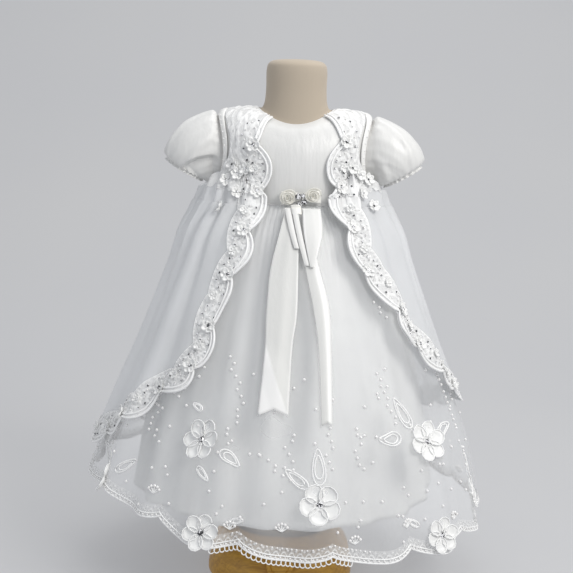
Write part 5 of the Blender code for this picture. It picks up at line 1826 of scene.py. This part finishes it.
def makeTails():
    made = []
    for name, (rows, notch, node) in tails.items():
        part = np.linspace(0, 1, ribbon["across"])
        down = np.linspace(0, 1, ribbon["down"])
        start, end = rows[0][0], rows[-1][0]
        heights = start + (end + notch * (1 - np.abs(2 * part - 1)) - start)[None] * down[:, None]
        left, right = ribbonEdges(rows, heights)
        x = left + (right - left) * part[None]
        # the ends fall into a soft fold that turns the face to the light, and the part so turned is painted
        # lighter: a painted highlight
        if name == "Left":
            share = np.clip((ribbon["foldTop"] - heights) / (ribbon["foldTop"] - end), -1, 1)
            line = np.clip(share, 0, 1)
            highlightPaint = np.where(share > 0, np.clip((line - part[None]) / 0.08 + 0.5, 0, 1), 0.0)
            fold = ribbon["fold"] * np.clip(1 - np.abs(part[None] - line) / 0.5, 0, 1) * np.clip(share * 3, 0, 1)
            fold += ribbon["ridge"] * np.exp(-((part[None] - 0.55) / 0.2) ** 2) * np.clip(1 - share, 0, 1)
        else:
            fold = ribbon["crown"] * np.sin(np.pi * part[None]) * np.ones(x.shape)
            # painted highlight: a narrow lighter streak near the right edge of the right tail
            highlightPaint = np.clip(1.0 - 3.2 * np.abs(part[None] - 0.8), 0.1, 0.8) * np.ones(x.shape)
        # painted highlight along both edges of each tail
        edges = np.clip(1 - np.minimum(part[None], 1 - part[None]) / 0.07, 0, 1)
        highlightPaint = np.maximum(highlightPaint, edges * 0.9)
        y = frontAt(x, heights) - ribbon["off"] - fold
        made.append(ribbonPiece("ribbonTail" + name, x, y, heights, tailSatin, node, gridUv(x, heights),
                                highlightPaint))
    return made


def makeHangingLoops():
    made = []
    for name, (rows, node, off) in hangingLoops.items():
        part = np.linspace(0, 1, 13)
        # down the front, round the foot and up behind
        turnOver = np.linspace(0, 2, 81)
        heights = np.where(turnOver <= 1, turnOver, 2 - turnOver)
        heights = rows[0][0] + (rows[-1][0] - rows[0][0]) * np.sin(heights * np.pi / 2) ** 1.1
        front = 0.5 + 0.5 * np.cos(turnOver * np.pi / 2)
        heights, part = np.meshgrid(heights, part, indexing="ij")
        left, right = ribbonEdges(rows, heights)
        x = left + (right - left) * part
        crown = ribbon["crown"] * np.sin(np.pi * part) * front[:, None]
        y = frontAt(x, heights) - off - ribbon["loopOff"] * front[:, None] - crown
        # painted highlight: the loops are painted lighter along both edges and darker in the middle
        edges = np.clip(1.15 - np.minimum(part, 1 - part) / 0.16, 0.25, 1)
        made.append(ribbonPiece("hangingLoop" + name, x, y, heights, tailSatin, node, gridUv(x, heights),
                                edges))
    return made


bow = {"x": 0.011, "height": 0.4895, "length": 0.0245, "width": 0.0175, "rise": 0.0080, "pinch": 0.45}
rosette = {"turns": 3.2, "columns": 110, "rows": 7, "forward": 0.0052, "wall": 0.0005}
rosettes = ((-0.0062, 0.4885, 0.0118), (0.0263, 0.4920, 0.0112))
bowStones = ((0.0068, 0.4905), (0.0148, 0.4839), (0.0085, 0.4787), (0.0135, 0.4915))


def bowFront(x, height):
    # the bodice's front under the bow
    turn = -90 + np.degrees(np.arcsin(np.clip(np.asarray(x) / 0.097, -0.9, 0.9)))
    level = np.interp(-np.asarray(height, float), (-0.508, -0.492, -0.478), (5.0, 6.0, 7.0))
    return bodicePlace(turn, level)[..., 1] - bodice["off"] - bodice["thick"]


def makeBowLoops():
    made = []
    for name, side, node in (("bowLoopLeft", -1, "bow_loop_left"), ("bowLoopRight", 1, "bow_loop_right")):
        p, q = np.meshgrid(np.linspace(0, 1, 41), np.linspace(-1, 1, 15), indexing="ij")
        reach = np.sin(np.pi * p) ** 0.9
        x = bow["x"] + side * (0.001 + bow["length"] * reach)
        half = bow["width"] / 2 * (bow["pinch"] + (1 - bow["pinch"]) * reach ** 0.7)
        heights = bow["height"] + half * q - 0.002 * reach * (side < 0) + 0.001 * reach * (side > 0)
        forward = 0.0010 + bow["rise"] * (1 + np.cos(np.pi * p)) / 2 * reach ** 0.5 * 1.2
        forward = forward + 0.0005 * np.cos(q * 9) * (1 - reach) + 0.0005
        y = bowFront(x, heights) - forward
        made.append(ribbonPiece(name, x, y, heights, creamRibbon, node, gridUv(p * 0.05, q * 0.009),
                                flip=side > 0))
    return made


def makeRosettes():
    # a narrow ribbon wound three times round, its free edge waved outwards
    parts = []
    for x, height, radius in rosettes:
        t, q = np.meshgrid(np.linspace(0, 1, rosette["columns"]), np.linspace(0, 1, rosette["rows"]),
                           indexing="ij")
        angle = t * 2 * np.pi * rosette["turns"]
        reach = radius * (1.0 - 0.86 * t) * (0.72 + 0.28 * q) + 0.0006 * np.sin(angle * 2.3) * q
        rise = 0.0012 + q * (0.0030 + 0.0030 * t) + 0.0022 * t
        px = x + reach * np.cos(angle)
        pz = height + reach * np.sin(angle)
        py = bowFront(px, pz) - rosette["forward"] - rise
        parts.append((gridPoints(px, py, pz), gridFaces(px.shape).tolist()))
    points, faces = joinShapes(parts)
    piece = newPiece("ribbonRosettes", points, faces, creamRibbon)
    addWall(piece, rosette["wall"])
    settle(piece, "rose")
    places = np.array([(x, bowFront(x, z) - 0.0080, z) for x, z in bowStones])
    outs = np.tile((0.0, -1.0, 0.05), (len(places), 1))
    stones = stonePiece("bowStones", [scatterShape(cutStone, places, outs, (0.0044, 0.0042, 0.0040, 0.0032))])
    # the short cream end under the stones
    p, q = np.meshgrid(np.linspace(0, 1, 12), np.linspace(0, 1, 9), indexing="ij")
    px = -0.0025 + 0.0130 * q + 0.002 * p
    pz = 0.4810 - 0.0110 * p - 0.0020 * np.abs(q - 0.5)
    py = np.minimum(bowFront(px, np.maximum(pz, waist)), frontAt(px, pz))
    py = py - 0.0050 - 0.0012 * np.sin(np.pi * q)
    return piece, [stones, ribbonPiece("bowEnd", px, py, pz, creamRibbon)]


tailPieces = makeTails() + makeHangingLoops()
bowPieces = makeBowLoops()
rosettePiece, bowTrims = makeRosettes()
print("ribbons and bow")


# armhole bindings and buttons

binding = {"halfHeight": 0.0420, "halfDepth": 0.0310, "middle": 0.0058, "halfWidth": 0.0034,
           "halfThick": 0.0015,
           "columns": 160, "sides": 12, "lift": 0.0034, "pucker": 0.0003}


def makeBindings():
    made, beads = [], []
    for name, side, node in (("armBindingRight", 1, "armhole_binding_right"),
                             ("armBindingLeft", -1, "armhole_binding_left")):
        angle = np.linspace(0, 2 * np.pi, binding["columns"], endpoint=False)
        rings = []
        for a in np.linspace(0, 2 * np.pi, binding["sides"], endpoint=False):
            reach = binding["middle"] + binding["halfWidth"] * math.cos(a)
            y = (binding["halfDepth"] + reach) * np.sin(angle)
            z = armhole["height"] + (binding["halfHeight"] + reach) * np.cos(angle)
            turn, level = torsoAt(y, z)
            lift = binding["lift"] + binding["halfThick"] * math.sin(a)
            lift = lift + binding["pucker"] * np.sin(angle * 70) * (math.sin(a) > 0)
            rings.append(bodicePlace(turn, level) + outAt(bodicePlace, turn, level) * lift[..., None])
        points = np.array(rings)
        points[..., 0] *= side
        index = np.arange(points[..., 0].size).reshape(points.shape[:2])
        turned = (index, np.roll(index, -1, 1), np.roll(index, (-1, -1), (0, 1)), np.roll(index, -1, 0))
        faces = np.stack([corner.ravel() for corner in turned], 1)
        if side > 0:
            faces = faces[:, ::-1]
        piece = newPiece(name, points.reshape(-1, 3), faces, ribbonSatin)
        made.append(settle(piece, node))
        # pearls down the front of the binding
        front = points[3, 108:150:5]
        beads.append((front, np.tile((0.5 * side, -0.8, 0.0), (len(front), 1))))
    return made, [beadPiece("bindingPearls", beads, 0.0014)]


buttonCut = {"radius": 0.0045, "thick": 0.0011, "rings": ((0.0006, 0.0004), (0.0008, 0.0), (0.0005, -0.0004))}


def makeButtons():
    # turned once, then copied: a drum with a raised rim and a sunk middle
    bpy.ops.mesh.primitive_cylinder_add(vertices=32, radius=buttonCut["radius"], depth=buttonCut["thick"],
                                        location=(0, 0, 0))
    button = bpy.context.active_object
    work = startEditing(button)
    face = max(work.faces, key=lambda f: f.calc_center_median().z)
    face.select = True
    bmesh.update_edit_mesh(button.data)
    for inset, rise in buttonCut["rings"]:
        bpy.ops.mesh.inset(thickness=inset)
        bpy.ops.transform.translate(value=(0, 0, rise))
    points, faces = readBack(button)
    made = []
    for number in (1, 2, 3):
        low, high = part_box("button_%d" % number)
        middle = (low + high) / 2
        some = points[:, (0, 2, 1)] + np.array((middle.x, middle.y, middle.z - datum))
        piece = newPiece("backButton%d" % number, some, [tuple(reversed(f)) for f in faces], pearl)
        startEditing(piece)
        stopEditing(piece, 35)
        made.append(settle(piece, "button_%d" % number))
    return made


bindingPieces, bindingTrims = makeBindings()
buttonPieces = makeButtons()
print("bindings and buttons")
